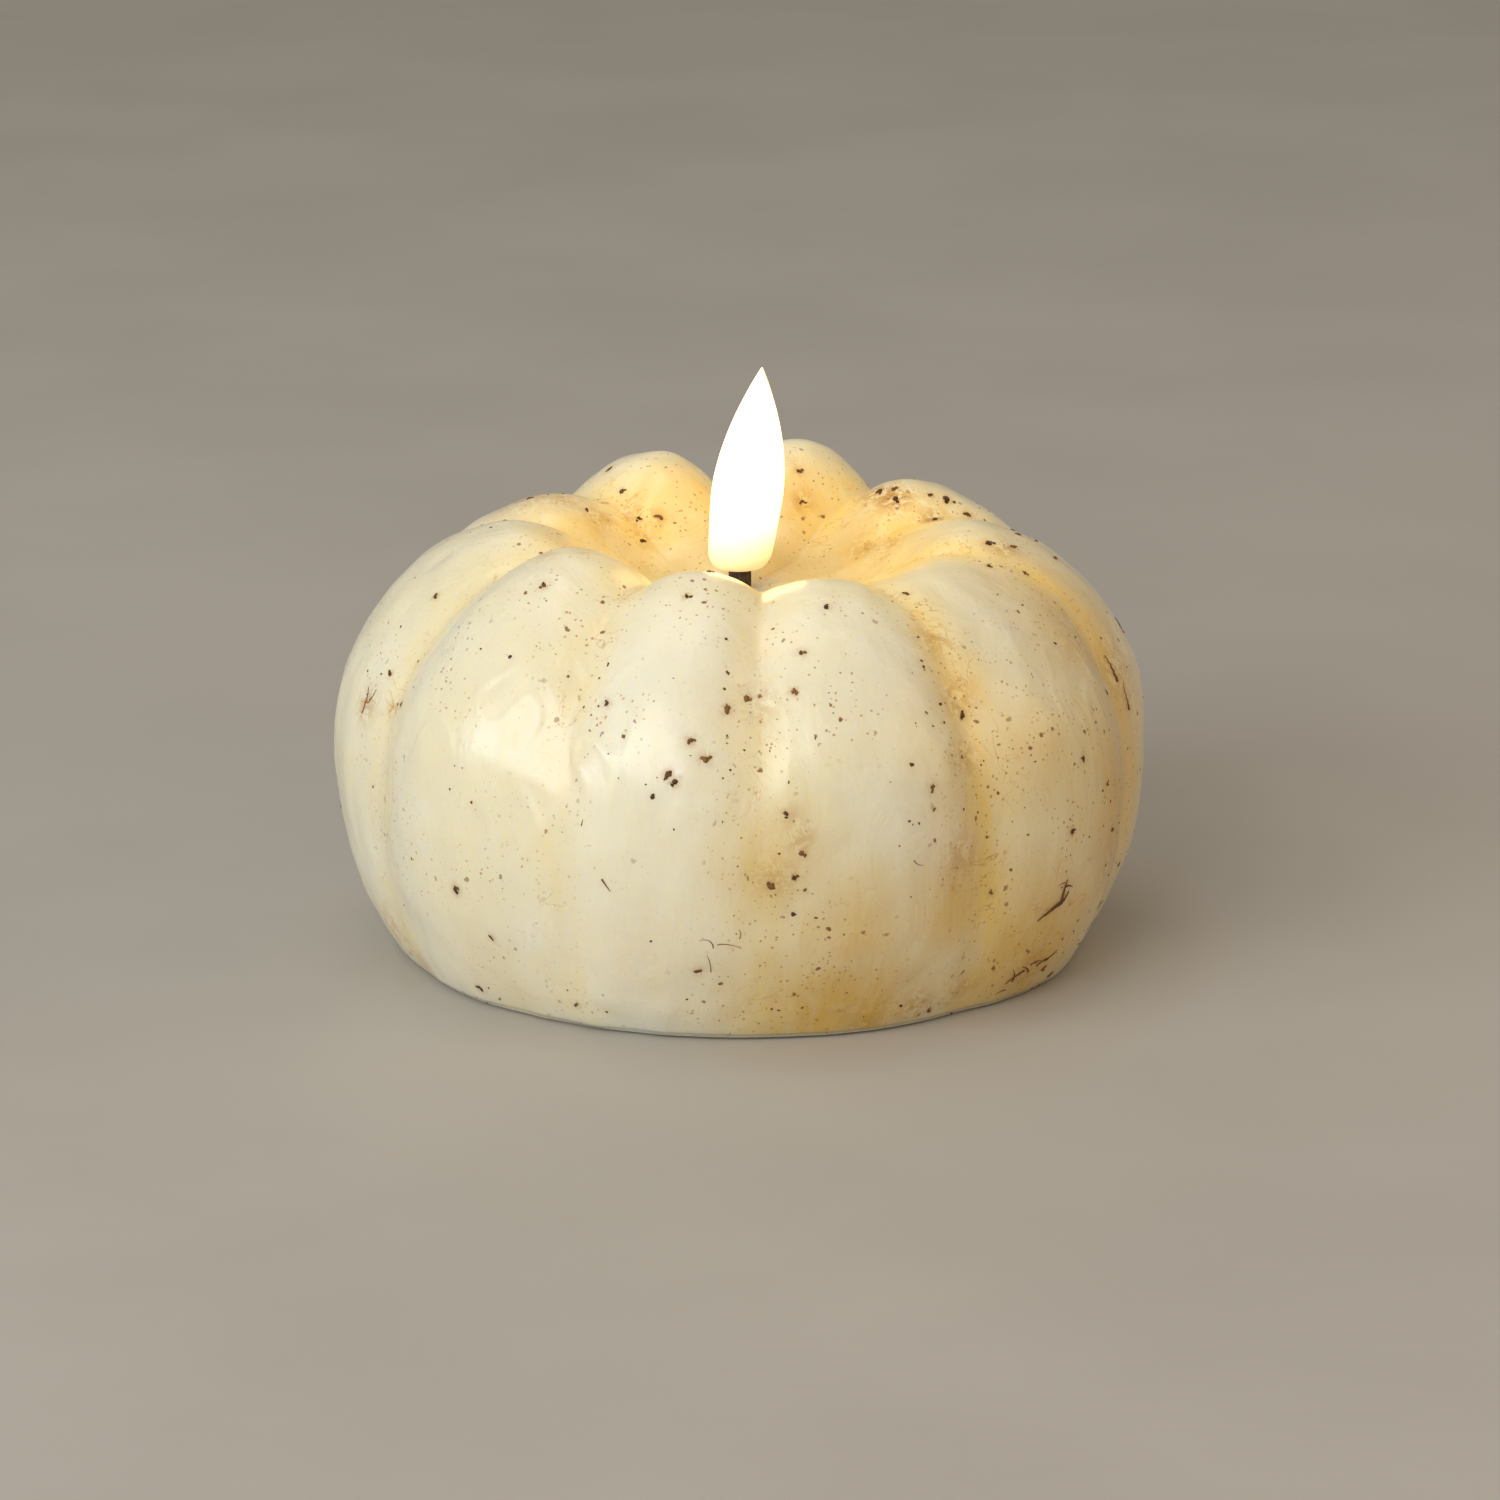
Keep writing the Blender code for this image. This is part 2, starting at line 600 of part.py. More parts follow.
def make_switch_body(material):
    body = block("switch_body", (-SWITCH_HALF_X, SWITCH_Y - SWITCH_HALF_Y, SWITCH_LOW),
                 (SWITCH_HALF_X, SWITCH_Y + SWITCH_HALF_Y, SWITCH_HIGH), material)
    room_x = SWITCH_HALF_X - SWITCH_WALL_X
    room_y = SWITCH_HALF_Y - SWITCH_WALL_Y
    cut(body, block("room", (-room_x, SWITCH_Y - room_y, SWITCH_LOW - 1),
                    (room_x, SWITCH_Y + room_y, SWITCH_ROOF)))
    return body


def make_switch_knob(material):
    knob = block("switch_knob", (-KNOB_HALF_X, -KNOB_HALF_Y, KNOB_LOW),
                 (KNOB_HALF_X, KNOB_HALF_Y, SHOE_LOW + 0.5), material)
    join(knob, block("shoe", (-SHOE_HALF_X, -SHOE_HALF_Y, SHOE_LOW),
                     (SHOE_HALF_X, SHOE_HALF_Y, SHOE_HIGH)))
    knob.location = (KNOB_REST_X * MM, SWITCH_Y * MM, 0)
    return knob


# Fasteners

def make_screw(name, material, place, head_radius, head_low, head_high, tip):
    """A pan-head screw; its tip is below the head or above it."""
    neck = head_high if tip > head_high else head_low
    crown = head_low if tip > head_high else head_high
    slope = 0.35 if crown > neck else -0.35
    outline = [(0, crown), (head_radius - 0.45, crown), (head_radius, crown - slope),
               (head_radius, neck), (SCREW_SHANK, neck), (SCREW_SHANK, tip), (0, tip)]
    return turned(name, outline, material, SMALL_ROUND, (*place, 0))


# Stem, LED and flame

def make_wick_stem(material):
    flange_top = WELL_CEILING - GAP
    flange_low = flange_top - FLANGE_THICKNESS
    outline = [(STEM_BORE, STEM_LOW), (STEM_RADIUS, STEM_LOW), (STEM_RADIUS, flange_low),
               (FLANGE_RADIUS, flange_low), (FLANGE_RADIUS, flange_top), (STEM_RADIUS, flange_top),
               (STEM_RADIUS, STEM_TOP), (STEM_BORE, STEM_TOP)]
    return turned("wick_stem", outline, material, ROUND)


def make_flame_led(material):
    dome = [(LED_RADIUS * math.cos(angle), LED_TIP - LED_RADIUS * (1 - math.sin(angle)))
            for angle in (0, math.radians(30), math.radians(60))]
    collar_top = LED_LOW + LED_COLLAR_HEIGHT
    outline = [(0, LED_LOW), (LED_COLLAR_RADIUS, LED_LOW), (LED_COLLAR_RADIUS, collar_top),
               (LED_RADIUS, collar_top), *dome, (0, LED_TIP)]
    led = turned("flame_led", outline, material, SMALL_ROUND)
    for side in (-1, 1):
        x = side * LEAD_X
        join(led, block("lead", (x - LEAD_HALF, -LEAD_HALF, LEAD_LOW),
                        (x + LEAD_HALF, LEAD_HALF, LED_LOW + 0.4)))
    return led


def flame_ring(share, radius, level):
    centre = FLAME_FOOT + FLAME_LEAN * share
    return [(centre + radius * math.cos(math.tau * i / FLAME_SEGMENTS),
             FLAME_DEPTH_RATIO * radius * math.sin(math.tau * i / FLAME_SEGMENTS), level)
            for i in range(FLAME_SEGMENTS)]


def stem_hole_ring(level):
    return [(FLAME_HOLE * math.cos(math.tau * i / FLAME_SEGMENTS),
             FLAME_HOLE * math.sin(math.tau * i / FLAME_SEGMENTS), level)
            for i in range(FLAME_SEGMENTS)]


def make_flame_bulb(material):
    """A hollow leaning drop with a round hole for the stem in its base."""
    outer = []
    inner = []
    for share, width in FLAME_OUTLINE:
        radius = width * FLAME_HALF_WIDTH
        level = FLAME_LOW + share * FLAME_HEIGHT
        outer.append(flame_ring(share, radius, level))
        if radius > 1.7 * FLAME_WALL and level > FLAME_LOW + FLAME_WALL:
            inner.append(flame_ring(share, radius - FLAME_WALL, level))
    hole = [stem_hole_ring(FLAME_LOW), stem_hole_ring(FLAME_LOW + FLAME_WALL)]
    rings = [*reversed(inner), hole[1], hole[0], *outer]
    vertices = [point for ring in rings for point in ring]
    faces = [tuple(range(FLAME_SEGMENTS))]
    for i in range(len(rings) - 1):
        faces += ring_faces(i * FLAME_SEGMENTS, (i + 1) * FLAME_SEGMENTS, FLAME_SEGMENTS)
    last = (len(rings) - 1) * FLAME_SEGMENTS
    faces.append(tuple(range(last, last + FLAME_SEGMENTS)))
    return add_object("flame_bulb", mesh_from(vertices, faces, smooth_angle=50), material)


# Wires, each held at both ends

def make_led_wire(name, material, side):
    x = side * LEAD_X
    end_x = side * 2.2
    route = [(x, 0, LEAD_LOW - GAP), (x, 0, 40), (x, -0.2, 34.5), (side * 0.7, -3.5, 28.5),
             (side * 1.2, -11, 24.5), (side * 1.8, -18.5, 20.5), (end_x, -21.8, 14.5),
             (end_x, -22.2, ON_BOARD)]
    return tube(name, smooth_curve(route, WIRE_POINTS), LED_WIRE_RADIUS, material)


def make_battery_wire_red(material):
    route = [(CONTACT_BACK + 0.2, -CELL_Y, TAB_TOP + 0.5), (28.4, -7.9, 24.0), (27.4, -12.0, 25.2),
             (24.6, -18.4, 21.0), (19.0, -21.2, 15.0), (13.0, -22.3, 11.0), (12.6, -22.4, ON_BOARD + 0.1)]
    return tube("battery_wire_red", smooth_curve(route, WIRE_POINTS), BATTERY_WIRE_RADIUS, material)


def make_battery_wire_black(material):
    route = [(CONTACT_BACK + 0.2, CELL_Y, TAB_TOP + 0.5), (28.2, 7.0, 24.0), (26.0, 1.0, 25.6),
             (22.5, -9.0, 24.6), (18.6, -18.2, 20.6), (13.0, -20.9, 14.6), (9.2, -21.4, 11.0),
             (9.0, -21.5, ON_BOARD + 0.1)]
    return tube("battery_wire_black", smooth_curve(route, WIRE_POINTS), BATTERY_WIRE_RADIUS, material)


def make_materials():
    return {
        "wax": make_material("wax", (0.83, 0.73, 0.50), 0.45),
        "base": make_material("base_plastic", (0.82, 0.80, 0.74), 0.5),
        "cell": make_material("cell_wrap", (0.16, 0.17, 0.19), 0.35),
        "contact": make_material("contact_metal", (0.78, 0.77, 0.74), 0.3, 1.0),
        "board": make_material("board_green", (0.05, 0.25, 0.12), 0.45),
        "chip": make_material("black_plastic", (0.03, 0.03, 0.03), 0.5),
        "knob": make_material("knob_plastic", (0.04, 0.04, 0.045), 0.45),
        "screw": make_material("screw_steel", (0.55, 0.55, 0.56), 0.35, 1.0),
        "stem": make_material("stem_black", (0.025, 0.02, 0.018), 0.6),
        "led": make_material("led_resin", (0.95, 0.85, 0.55), 0.2),
        "flame": make_material("flame_plastic", (1.0, 0.93, 0.78), 0.3),
        "red": make_material("wire_red", (0.6, 0.03, 0.02), 0.45),
        "black": make_material("wire_black", (0.02, 0.02, 0.02), 0.45),
    }


def main():
    clear_scene()
    paint = make_materials()
    make_wax_shell(paint["wax"])
    make_base_plate(paint["base"])
    make_battery_box(paint["base"])

    pivot = bpy.data.objects.new("door_pivot", None)
    pivot.location = (HINGE_X * MM, 0, DOOR_MIDDLE_Z * MM)
    bpy.context.scene.collection.objects.link(pivot)
    make_battery_door(paint["base"], pivot)

    make_cell("battery_1", paint["cell"], 1)
    make_cell("battery_2", paint["cell"], -1)
    make_end_contact("contact_plus", paint["contact"], -CELL_Y)
    make_end_contact("contact_minus", paint["contact"], CELL_Y)
    make_contact_bridge(paint["contact"])
    make_spring("battery_spring_1", paint["contact"], 1)
    make_spring("battery_spring_2", paint["contact"], -1)

    make_control_board(paint["board"])
    make_timer_chip(paint["chip"])
    make_crystal(paint["contact"])
    make_capacitor(paint["chip"])
    for i, place in enumerate(RESISTOR_PLACES, 1):
        make_resistor(f"resistor_{i}", paint["chip"], place)
    make_switch_body(paint["contact"])
    make_switch_knob(paint["knob"])

    for i, place in enumerate(BOX_SCREW_PLACES, 1):
        make_screw(f"base_screw_{i}", paint["screw"], place, BASE_SCREW_HEAD,
                   PLATE_LOW + GAP, COUNTERBORE_TOP - GAP, LUG_TOP - 1.3)
    for i, place in enumerate(BOARD_SCREW_PLACES, 1):
        make_screw(f"board_screw_{i}", paint["screw"], place, BOARD_SCREW_HEAD,
                   ON_BOARD, ON_BOARD + 1.2, PLATE_HIGH + 1.3)

    make_wick_stem(paint["stem"])
    make_flame_led(paint["led"])
    make_flame_bulb(paint["flame"])
    make_led_wire("led_wire_red", paint["red"], 1)
    make_led_wire("led_wire_black", paint["black"], -1)
    make_battery_wire_red(paint["red"])
    make_battery_wire_black(paint["black"])


main()
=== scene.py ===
"""Looks of the flameless pumpkin candle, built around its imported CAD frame.

Metres, +Z up, front towards -Y. Sizes named in millimetres become metres through MM.
"""
import math
import random

import bmesh
import bpy
import numpy as np
from mathutils import Matrix, Vector, noise


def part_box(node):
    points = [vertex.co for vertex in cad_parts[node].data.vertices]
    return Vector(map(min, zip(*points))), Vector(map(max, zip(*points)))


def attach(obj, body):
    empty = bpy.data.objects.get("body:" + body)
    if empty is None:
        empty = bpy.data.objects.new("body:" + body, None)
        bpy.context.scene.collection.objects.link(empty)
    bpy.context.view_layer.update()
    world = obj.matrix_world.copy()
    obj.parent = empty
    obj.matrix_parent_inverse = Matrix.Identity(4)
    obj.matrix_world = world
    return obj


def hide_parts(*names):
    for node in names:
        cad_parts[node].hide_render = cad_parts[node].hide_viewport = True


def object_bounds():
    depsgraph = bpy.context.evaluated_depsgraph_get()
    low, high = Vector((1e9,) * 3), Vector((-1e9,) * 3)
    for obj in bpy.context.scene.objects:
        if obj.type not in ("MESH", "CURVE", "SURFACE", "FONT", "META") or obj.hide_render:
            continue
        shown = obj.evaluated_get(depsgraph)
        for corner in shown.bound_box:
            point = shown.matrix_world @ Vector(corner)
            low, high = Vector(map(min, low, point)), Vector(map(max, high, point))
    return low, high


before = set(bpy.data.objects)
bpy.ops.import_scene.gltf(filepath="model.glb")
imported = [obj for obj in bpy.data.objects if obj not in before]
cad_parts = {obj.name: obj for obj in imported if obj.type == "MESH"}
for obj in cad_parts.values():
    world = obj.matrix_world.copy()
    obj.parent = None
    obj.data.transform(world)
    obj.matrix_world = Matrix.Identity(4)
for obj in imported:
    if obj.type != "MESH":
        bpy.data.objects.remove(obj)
cad_low, cad_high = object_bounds()

MM = 0.001
SEED = 11

# Camera: a long lens, a little above the candle
CAMERA_DISTANCE = 0.80
CAMERA_ELEVATION = math.radians(16.0)
CAMERA_TARGET = Vector((0.00133, 0.0, 0.0253))
LENS_MM = 144.0

# Wax surface: (radius, height) from the bottom edge over the shoulder and down to the stem hole, on a
# crest and in a valley. The CAD body has the same driving points, but its valleys run straight and
# the one in front is a little deeper at its foot.
CREST_PROFILE = [(46.4, 0.3), (49.7, 6), (53.0, 15), (54.2, 27), (52.6, 38.3), (47.0, 47.8),
                 (39.6, 54.4), (31.0, 57.6), (23.6, 55.8), (18.4, 51.2), (14.5, 48.3), (8, 47.5)]
VALLEY_PROFILE = [(45.4, 0.3), (48.0, 6), (50.6, 15), (51.4, 27), (49.3, 37.8), (44.0, 46.8),
                  (37.0, 52.2), (29.6, 54.0), (22.4, 52.6), (17.8, 50.0), (14.2, 48.1), (8, 47.5)]
CAVITY_PROFILE = [(1.8, 47.5), (1.8, 44), (14, 44), (20, 45.4), (28, 47.6), (34, 46.3), (39.5, 42.3),
                  (43.3, 36), (45.2, 27), (44.2, 15), (41.6, 5), (39.8, 0.9)]
LOBE_VALLEYS = [4.5, 36.5, 77, 116, 149, 184, 221, 253, 297, 333.5]
LOBE_HEIGHTS = [-1.6, -3.2, -2.0, -0.2, 3.1, 1.9, -1.5, -0.6, 0.6, -0.4]
LOBE_ROUNDNESS = 2.3
VALLEY_SOFTNESS = 0.12
VALLEY_FOOT_DEPTHS = [0.15, 0.75, 0.8, 0.7, 0.7, 0.7, 0.7, 0.7, 0.5, 0.4]
FOOT_DEPTH_HEIGHT = 22.0
FULL_DEPTH_HEIGHT = 47.0
HEIGHT_STARTS = 30.0
HEIGHT_BLEND = 25.0
# How far each valley wanders sideways, in degrees, at its foot, shoulder and rim
VALLEY_PATHS = [(-2.2, -2.3, 2.0), (1.0, 0.0, 0.5), (-1.0, 0.5, -0.5), (0.8, -0.8, 0.0), (-0.6, 0.8, -1.0),
                (1.2, -0.5, 0.5), (-1.0, 0.6, 0.0), (0.5, -0.8, 0.8), (-0.5, -0.3, 0.6), (0.6, 0.0, -0.5)]
PATH_SHARES = [0.0, 0.45, 0.68]
# How strongly each valley is tinted gold: partly spice stain in the groove, partly painted shade darkening
# the valley
VALLEY_TINTS = [0.35, 0.8, 0.8, 0.8, 0.8, 0.65, 0.6, 0.6, 0.4, 0.4]
WAX_COLUMNS = 720
WAX_RINGS = 250
BOTTOM_Z = 0.3
# Unevenness carved into the wax: (depth, level, size, stretch along Z, where its noise starts)
CARVINGS = [(0.40, 0.6, 15.0, 1.0, 0.0), (0.20, 0.5, 5.0, 3.2, 40.0), (0.12, 0.5, 3.4, 1.2, 90.0)]
RUN_DEPTH = 0.26
RUN_WIDTH = 0.07
CARVING_STARTS = 12
CARVING_BLEND = 8
# Painted glow of the wax near the flame, standing in for the flame's light on it: from where, strongest at
# what distance, and how fast it fades
GLOW_HEART = (3.1, -1.0, 60.0)
GLOW_DISTANCE = 26
GLOW_FADE = 13.0
VALLEY_WIDTH = 3.8

# Colours of the wax and of what lies on it and in it; the two golds also carry painted warm shade, and the
# glow tint colours painted light
WAX_PALE = (0.84, 0.81, 0.665)
WAX_WARM = (0.82, 0.765, 0.55)
DUST_AND_SHADE_GOLD = (0.71, 0.47, 0.10)
VALLEY_GOLD = (0.86, 0.62, 0.13)
STAIN_BROWN = (0.52, 0.27, 0.02)
STAIN_CORE = (0.20, 0.08, 0.025)
HAIRLINE_BROWN = (0.52, 0.26, 0.05)
DUST_BROWN = (0.44, 0.19, 0.02)
GRAIN_BROWN = (0.24, 0.085, 0.01)
SPECK_DARK = (0.12, 0.04, 0.005)
GLOW_TINT = (1.0, 0.74, 0.16)

# Flame outline: share of the half width at each share of the height
FLAME_OUTLINE = [(0.0, 0.55), (0.012, 0.70), (0.04, 0.82), (0.07, 0.88), (0.14, 0.92), (0.26, 0.965),
                 (0.39, 1.0), (0.51, 0.945), (0.64, 0.80), (0.77, 0.58), (0.90, 0.29), (0.965, 0.12),
                 (1.0, 0.02)]
FLAME_FOOT = -0.2
FLAME_LEAN = 3.1
FLAME_HALF_WIDTH = 4.75
FLAME_DEPTH_RATIO = 0.92
FLAME_WALL = 1.0
FLAME_HOLE = 1.8
FLAME_COLUMNS = 64

# Sizes of the hidden parts, repeated from the CAD
CELL_END = 28.0
CELL_LENGTH = 50.5
CELL_Y = 7.6
CELL_Z = 10.45
DOOR_LATCH_X = -30.0
PLATE_LOW = 0.8
DOOR_INNER_Z = 2.6
SWITCH_Y = -25.0
KNOB_X = -2.0
SCREW_PLACES = [(22, 20.8), (-22, 20.8), (22, -20.8), (-22, -20.8)]
# Outlines that are turned about an axis: (radius, height) from one end to the other
CELL_OUTLINE = [(3.6, 0.25), (5.4, 0.05), (6.5, 0.0), (7.0, 0.2), (7.25, 0.7), (7.25, 48.5), (7.1, 49.0),
                (6.7, 49.3), (6.2, 49.25), (6.0, 48.9), (3.3, 48.9), (2.95, 49.2), (2.75, 49.5),
                (2.75, 50.2), (2.5, 50.45), (2.0, 50.5)]
SCREW_HEAD = [(0.3, 1.1), (1.3, 1.1), (1.75, 1.2), (2.02, 1.42), (2.1, 1.75), (2.1, 2.5), (0.95, 2.5)]
SCREW_POINT = [(0.5, 8.6), (0.2, 8.9)]
THREAD_RADII = (0.72, 0.95)
THREAD_STARTS = 2.8
THREAD_STEP = 0.28
THREAD_POINTS = 20
# Each bar of the cross recess: half length, half width, lowest and highest Z
RECESS_BAR = (1.15, 0.24, 0.9, 1.75)
# Print on each cell, in metres along it from the candle's middle towards its nub
BAND_STARTS = 0.0140
LINE_STARTS = 0.0122
LINE_ENDS = 0.0130
BARE_NUB_STARTS = 0.0262
BARE_END_ENDS = -0.0219
SPRING_WIRE = 0.35
SPRING_TURNS = 3.5
SPRING_RADIUS = 5.2
SPRING_TAPER = 2.0
# Cell outlines moulded inside the door
GUIDE_HALF_LENGTH = 20
GUIDE_HALF_WIDTH = 5.8
GUIDE_RIB = 0.25
# Every moulded mark starts this far inside the part that carries it
MARK_ROOT = 0.1

# Spice flecks on the sides, listed one by one: (degrees from the front, height, size)
SIDE_FLECKS = [
    (8, 46, 1.0), (1, 45, 1.2), (-2, 44, 1.1), (-7, 41, 1.0), (-5, 39, 1.3), (-10, 37, 1.3),
    (-9, 36, 1.1), (-12, 34, 0.8), (6, 32, 0.8), (8, 27, 1.0), (7, 24, 0.9), (4, 23, 1.2), (7, 19, 0.8),
    (-21, 44, 0.9), (-17, 41, 0.8), (-39, 48, 0.8), (-23, 48, 0.8), (-2, 48, 0.8), (10, 50, 1.0),
    (-43, 18, 1.2), (-6, 11, 1.0), (-3, 9, 0.8), (-70, 50, 0.9), (-62, 38, 0.9), (-68, 41, 0.9),
    (-45, 3, 1.1), (-26, 4, 0.9), (-38, 12, 0.9), (36, 41, 1.0), (32, 43, 0.8), (24, 37, 0.8),
    (27, 34, 1.1), (27, 31, 0.8), (27, 27, 0.8), (38, 18, 0.9), (31, 2, 1.0), (25, 4, 0.8), (55, 33, 0.9),
    (61, 28, 0.9), (52, 24, 0.9), (64, 21, 1.0), (68, 10, 0.9), (77, 8, 1.2), (80, 12, 0.9), (54, 4, 1.2),
    (59, 2, 1.1), (70, 38, 0.9),
]
# The same on the top, over the rim and in the well: (degrees from the front, radius, size)
TOP_FLECKS = [
    (134, 26, 1.4), (130, 27, 1.1), (126, 26, 1.3), (116, 29, 1.4), (84, 33, 1.5), (86, 36, 1.2),
    (-141, 22, 1.0), (-146, 20, 1.1), (-136, 19, 0.9), (-124, 25, 0.9), (156, 21, 1.0), (-8, 28.5, 1.4),
    (-11, 36, 1.2), (17, 37, 1.0), (-41, 38, 1.2), (160, 24, 1.1), (146, 35, 1.5), (142, 37, 1.4),
    (150, 36, 0.9), (122, 33, 1.5), (118, 35, 1.2), (107, 38, 1.2), (100, 40, 0.9), (96, 37, 1.0),
    (92, 42, 1.2), (78, 38, 0.9), (72, 34, 1.0), (-143, 27, 1.0), (-120, 33, 0.9), (12, 14, 0.9),
    (40, 33, 0.9),
]
# Rust-brown stains: (degrees from the front, radius, height, size, strength)
STAINS = [
    (134, 26, 56, 3.0, 1.0), (127, 26, 56, 3.0, 1.0), (116, 29, 54, 2.4, 0.9), (142, 27, 57, 2.8, 0.7),
    (84, 35, 54, 2.2, 0.8), (108, 21, 52, 2.5, 0.6), (119, 19, 51, 2.5, 0.6), (98, 38, 54, 4.0, 0.4),
    (-124, 23, 54, 2.8, 0.6), (-141, 23, 53, 2.6, 0.6), (-145, 20, 53, 2.2, 0.6), (-136, 19, 51, 2.2, 0.6),
    (-122, 33, 56, 5.0, 0.6), (-123, 28, 56, 3.0, 0.5), (156, 21, 55, 1.8, 0.8),
    (-49, 33, 58, 1.6, 0.5), (-42, 30, 58, 1.6, 0.4), (81, 50, 38, 5.0, 0.6), (66, 53, 17, 5.0, 0.5),
    (70, 47, 45, 5.0, 0.4), (37, 41, 49, 3.0, 0.6), (36, 47, 43, 3.0, 0.6), (34, 50, 36, 3.0, 0.5),
    (32, 53, 24, 3.5, 0.5), (28, 48, 3, 3.0, 0.65), (36, 48, 4, 3.0, 0.5), (50, 49, 5, 3.0, 0.75),
    (20, 47, 2, 3.0, 0.5), (8, 53, 29, 2.2, 0.5), (7, 53, 32, 1.6, 0.4), (5, 53, 24, 3.0, 0.4),
    (3, 47, 45, 3.0, 0.4), (-71, 51, 36, 2.5, 0.6), (-64, 50, 37, 1.2, 0.8), (-69, 48, 6, 4.0, 0.5),
    (-64, 46, 3, 3.0, 0.5), (205, 48, 12, 6.0, 0.6), (240, 50, 30, 5.0, 0.5),
    (118, 50, 20, 6.0, 0.6), (98, 48, 6, 6.0, 0.7), (150, 49, 34, 4.0, 0.6),
    (255, 49, 14, 5.0, 0.5),
]
# Broad warm patches, partly spice dust on the wax and partly painted warm shade on the lower right, low and
# back sides: (degrees, radius, height, size, strength)
DUST_AND_SHADE_PATCHES = [
    (34, 50, 31, 8, 0.5), (36, 46, 43, 7, 0.4), (32, 52, 18, 9, 0.8), (50, 50, 8, 15, 1.0),
    (70, 51, 25, 18, 1.0), (15, 49, 4, 13, 1.0), (15, 52, 14, 10, 0.7), (5, 53, 24, 8, 0.5),
    (48, 52, 34, 10, 0.5), (75, 45, 45, 14, 0.75), (60, 48, 44, 8, 0.35), (2, 48, 3, 9, 0.3),
    (110, 50, 15, 18, 0.7), (150, 48, 40, 13, 0.5), (190, 50, 20, 16, 0.6), (225, 50, 10, 15, 0.6),
    (-12, 52, 12, 8, 0.2), (-40, 48, 4, 9, 0.2), (140, 36, 56, 10, 0.4),
    (-130, 32, 55, 12, 0.35),
]
# Plant fibres: (degrees from the front, height, length, heading in degrees, curl, thickness)
FIBRES = [
    (52, 14.2, 4.6, 200, 0.15, 3.2), (52, 14.2, 2.2, 188, 0.2, 3.8), (52, 14.2, 3.4, 95, -0.35, 3.0),
    (52, 14.2, 1.9, 30, 0.6, 2.6), (52.2, 16.4, 1.7, 10, -0.5, 2.0), (51.8, 17, 1.4, 165, 0.4, 1.2),
    (-18.8, 23, 2.0, 305, 0.05, 1.8), (-22, 29.5, 0.9, 80, 0.1, 1.1), (-3.6, 14.5, 2.6, 75, 1.6, 1.1),
    (-3, 15, 3.2, 12, -0.5, 1.1), (0, 15.8, 1.5, 60, 0.8, 1.0), (-4, 11, 2.8, 82, 0.3, 1.0),
    (-71.5, 35, 3.0, 85, 0.2, 1.5), (-71, 36.5, 2.2, 120, -0.3, 1.3), (-70.8, 36.5, 2.4, 50, 0.3, 1.3),
    (80.5, 37, 4.0, 85, 0.3, 1.8), (81.5, 33, 4.0, 95, -0.3, 1.6), (48.5, 5, 3.2, 200, 0.3, 1.8),
    (49.5, 5.6, 2.4, 20, -0.5, 1.6), (47, 3.6, 2.6, 90, 0.5, 1.4), (50, 4.4, 2.6, 130, 0.5, 1.4),
    (51.5, 5, 2.4, 40, -0.5, 1.4), (53, 5.5, 2.5, 10, 0.4, 1.6), (46.5, 2.4, 1.8, 170, 0.5, 1.2),
    (24, 25, 1.8, 300, 0.7, 0.9), (140, 25, 4.5, 30, 0.8, 1.5),
    (170, 33, 4.0, 60, -0.9, 1.3), (205, 20, 5.0, 110, 0.6, 1.6), (205, 20, 3.0, 20, -0.8, 1.5),
    (250, 36, 4.0, 70, 1.0, 1.2), (115, 9, 4.6, 40, -0.5, 1.4), (230, 9, 4.2, 150, 0.5, 1.6),
    (96, 40, 3.4, 80, 0.9, 1.2),
]
# Patches with raised wax runs: (degrees, radius, height, size, strength)
WAX_RUNS = [
    (-22, 50, 40, 10, 1.0), (-30, 52, 28, 7, 0.8), (-45, 48, 42, 8, 0.7), (60, 48, 42, 9, 0.8),
    (2, 50, 42, 6, 0.5), (130, 50, 35, 12, 1.0), (200, 50, 38, 12, 1.0), (245, 50, 20, 10, 0.9),
]
# Spots crowded with small flecks: (degrees from the front, height, spread, how many)
FLECK_CROWDS = [
    (33, 28, 8, 26), (30, 44, 5, 16), (60, 25, 12, 34), (74, 14, 8, 20), (3, 42, 6, 18), (-12, 38, 8, 14),
    (5, 24, 6, 12), (54, 5, 6, 14), (-50, 20, 14, 12), (-35, 42, 9, 12), (-68, 42, 8, 12), (20, 10, 12, 12),
    (66, 44, 7, 16),
]
BACK_FLECKS = 230
HALO_FLECK = 0.9
CLUSTER_FLECK = 0.85
FIBRE_RADIUS = 0.075
FIBRE_STEPS = 14
SIDE_RADIUS = 50.0

# Stage: where the lights point, and the radii of the floor's rings, in metres
LIT_PLACE = Vector((0, 0, 0.03))
FLOOR_RINGS = [0.044, 0.06, 0.12, 0.3, 0.8, 4.0]


# Small helpers

def clamp(values, low=0.0, high=1.0):
    return np.minimum(np.maximum(values, low), high)


def ease(values, low, high):
    share = clamp((values - low) / (high - low))
    return share ** 2 * (3 - 2 * share)


def smooth_curve(points, count):
    """Catmull-Rom curve through points, read at count places; returns an array."""
    points = np.array(points, float)
    line = np.vstack([2 * points[0] - points[1], points, 2 * points[-1] - points[-2]])
    place = np.linspace(0, len(points) - 1, count)
    i = np.minimum(place.astype(int), len(points) - 2)
    t = (place - i)[:, None]
    a, b, c, d = line[i], line[i + 1], line[i + 2], line[i + 3]
    return 0.5 * (2 * b + (c - a) * t + (2 * a - 5 * b + 4 * c - d) * t ** 2
                  + (3 * b - a - 3 * c + d) * t ** 3)


def grid_faces(rings, columns, closed_rings=False):
    """Quads of a grid whose vertex number is ring * columns + column; columns wrap round."""
    last = rings if closed_rings else rings - 1
    ring = np.repeat(np.arange(last), columns)
    column = np.tile(np.arange(columns), last)
    after = (column + 1) % columns
    above = (ring + 1) % rings
    return np.stack([ring * columns + column, ring * columns + after,
                     above * columns + after, above * columns + column], 1)


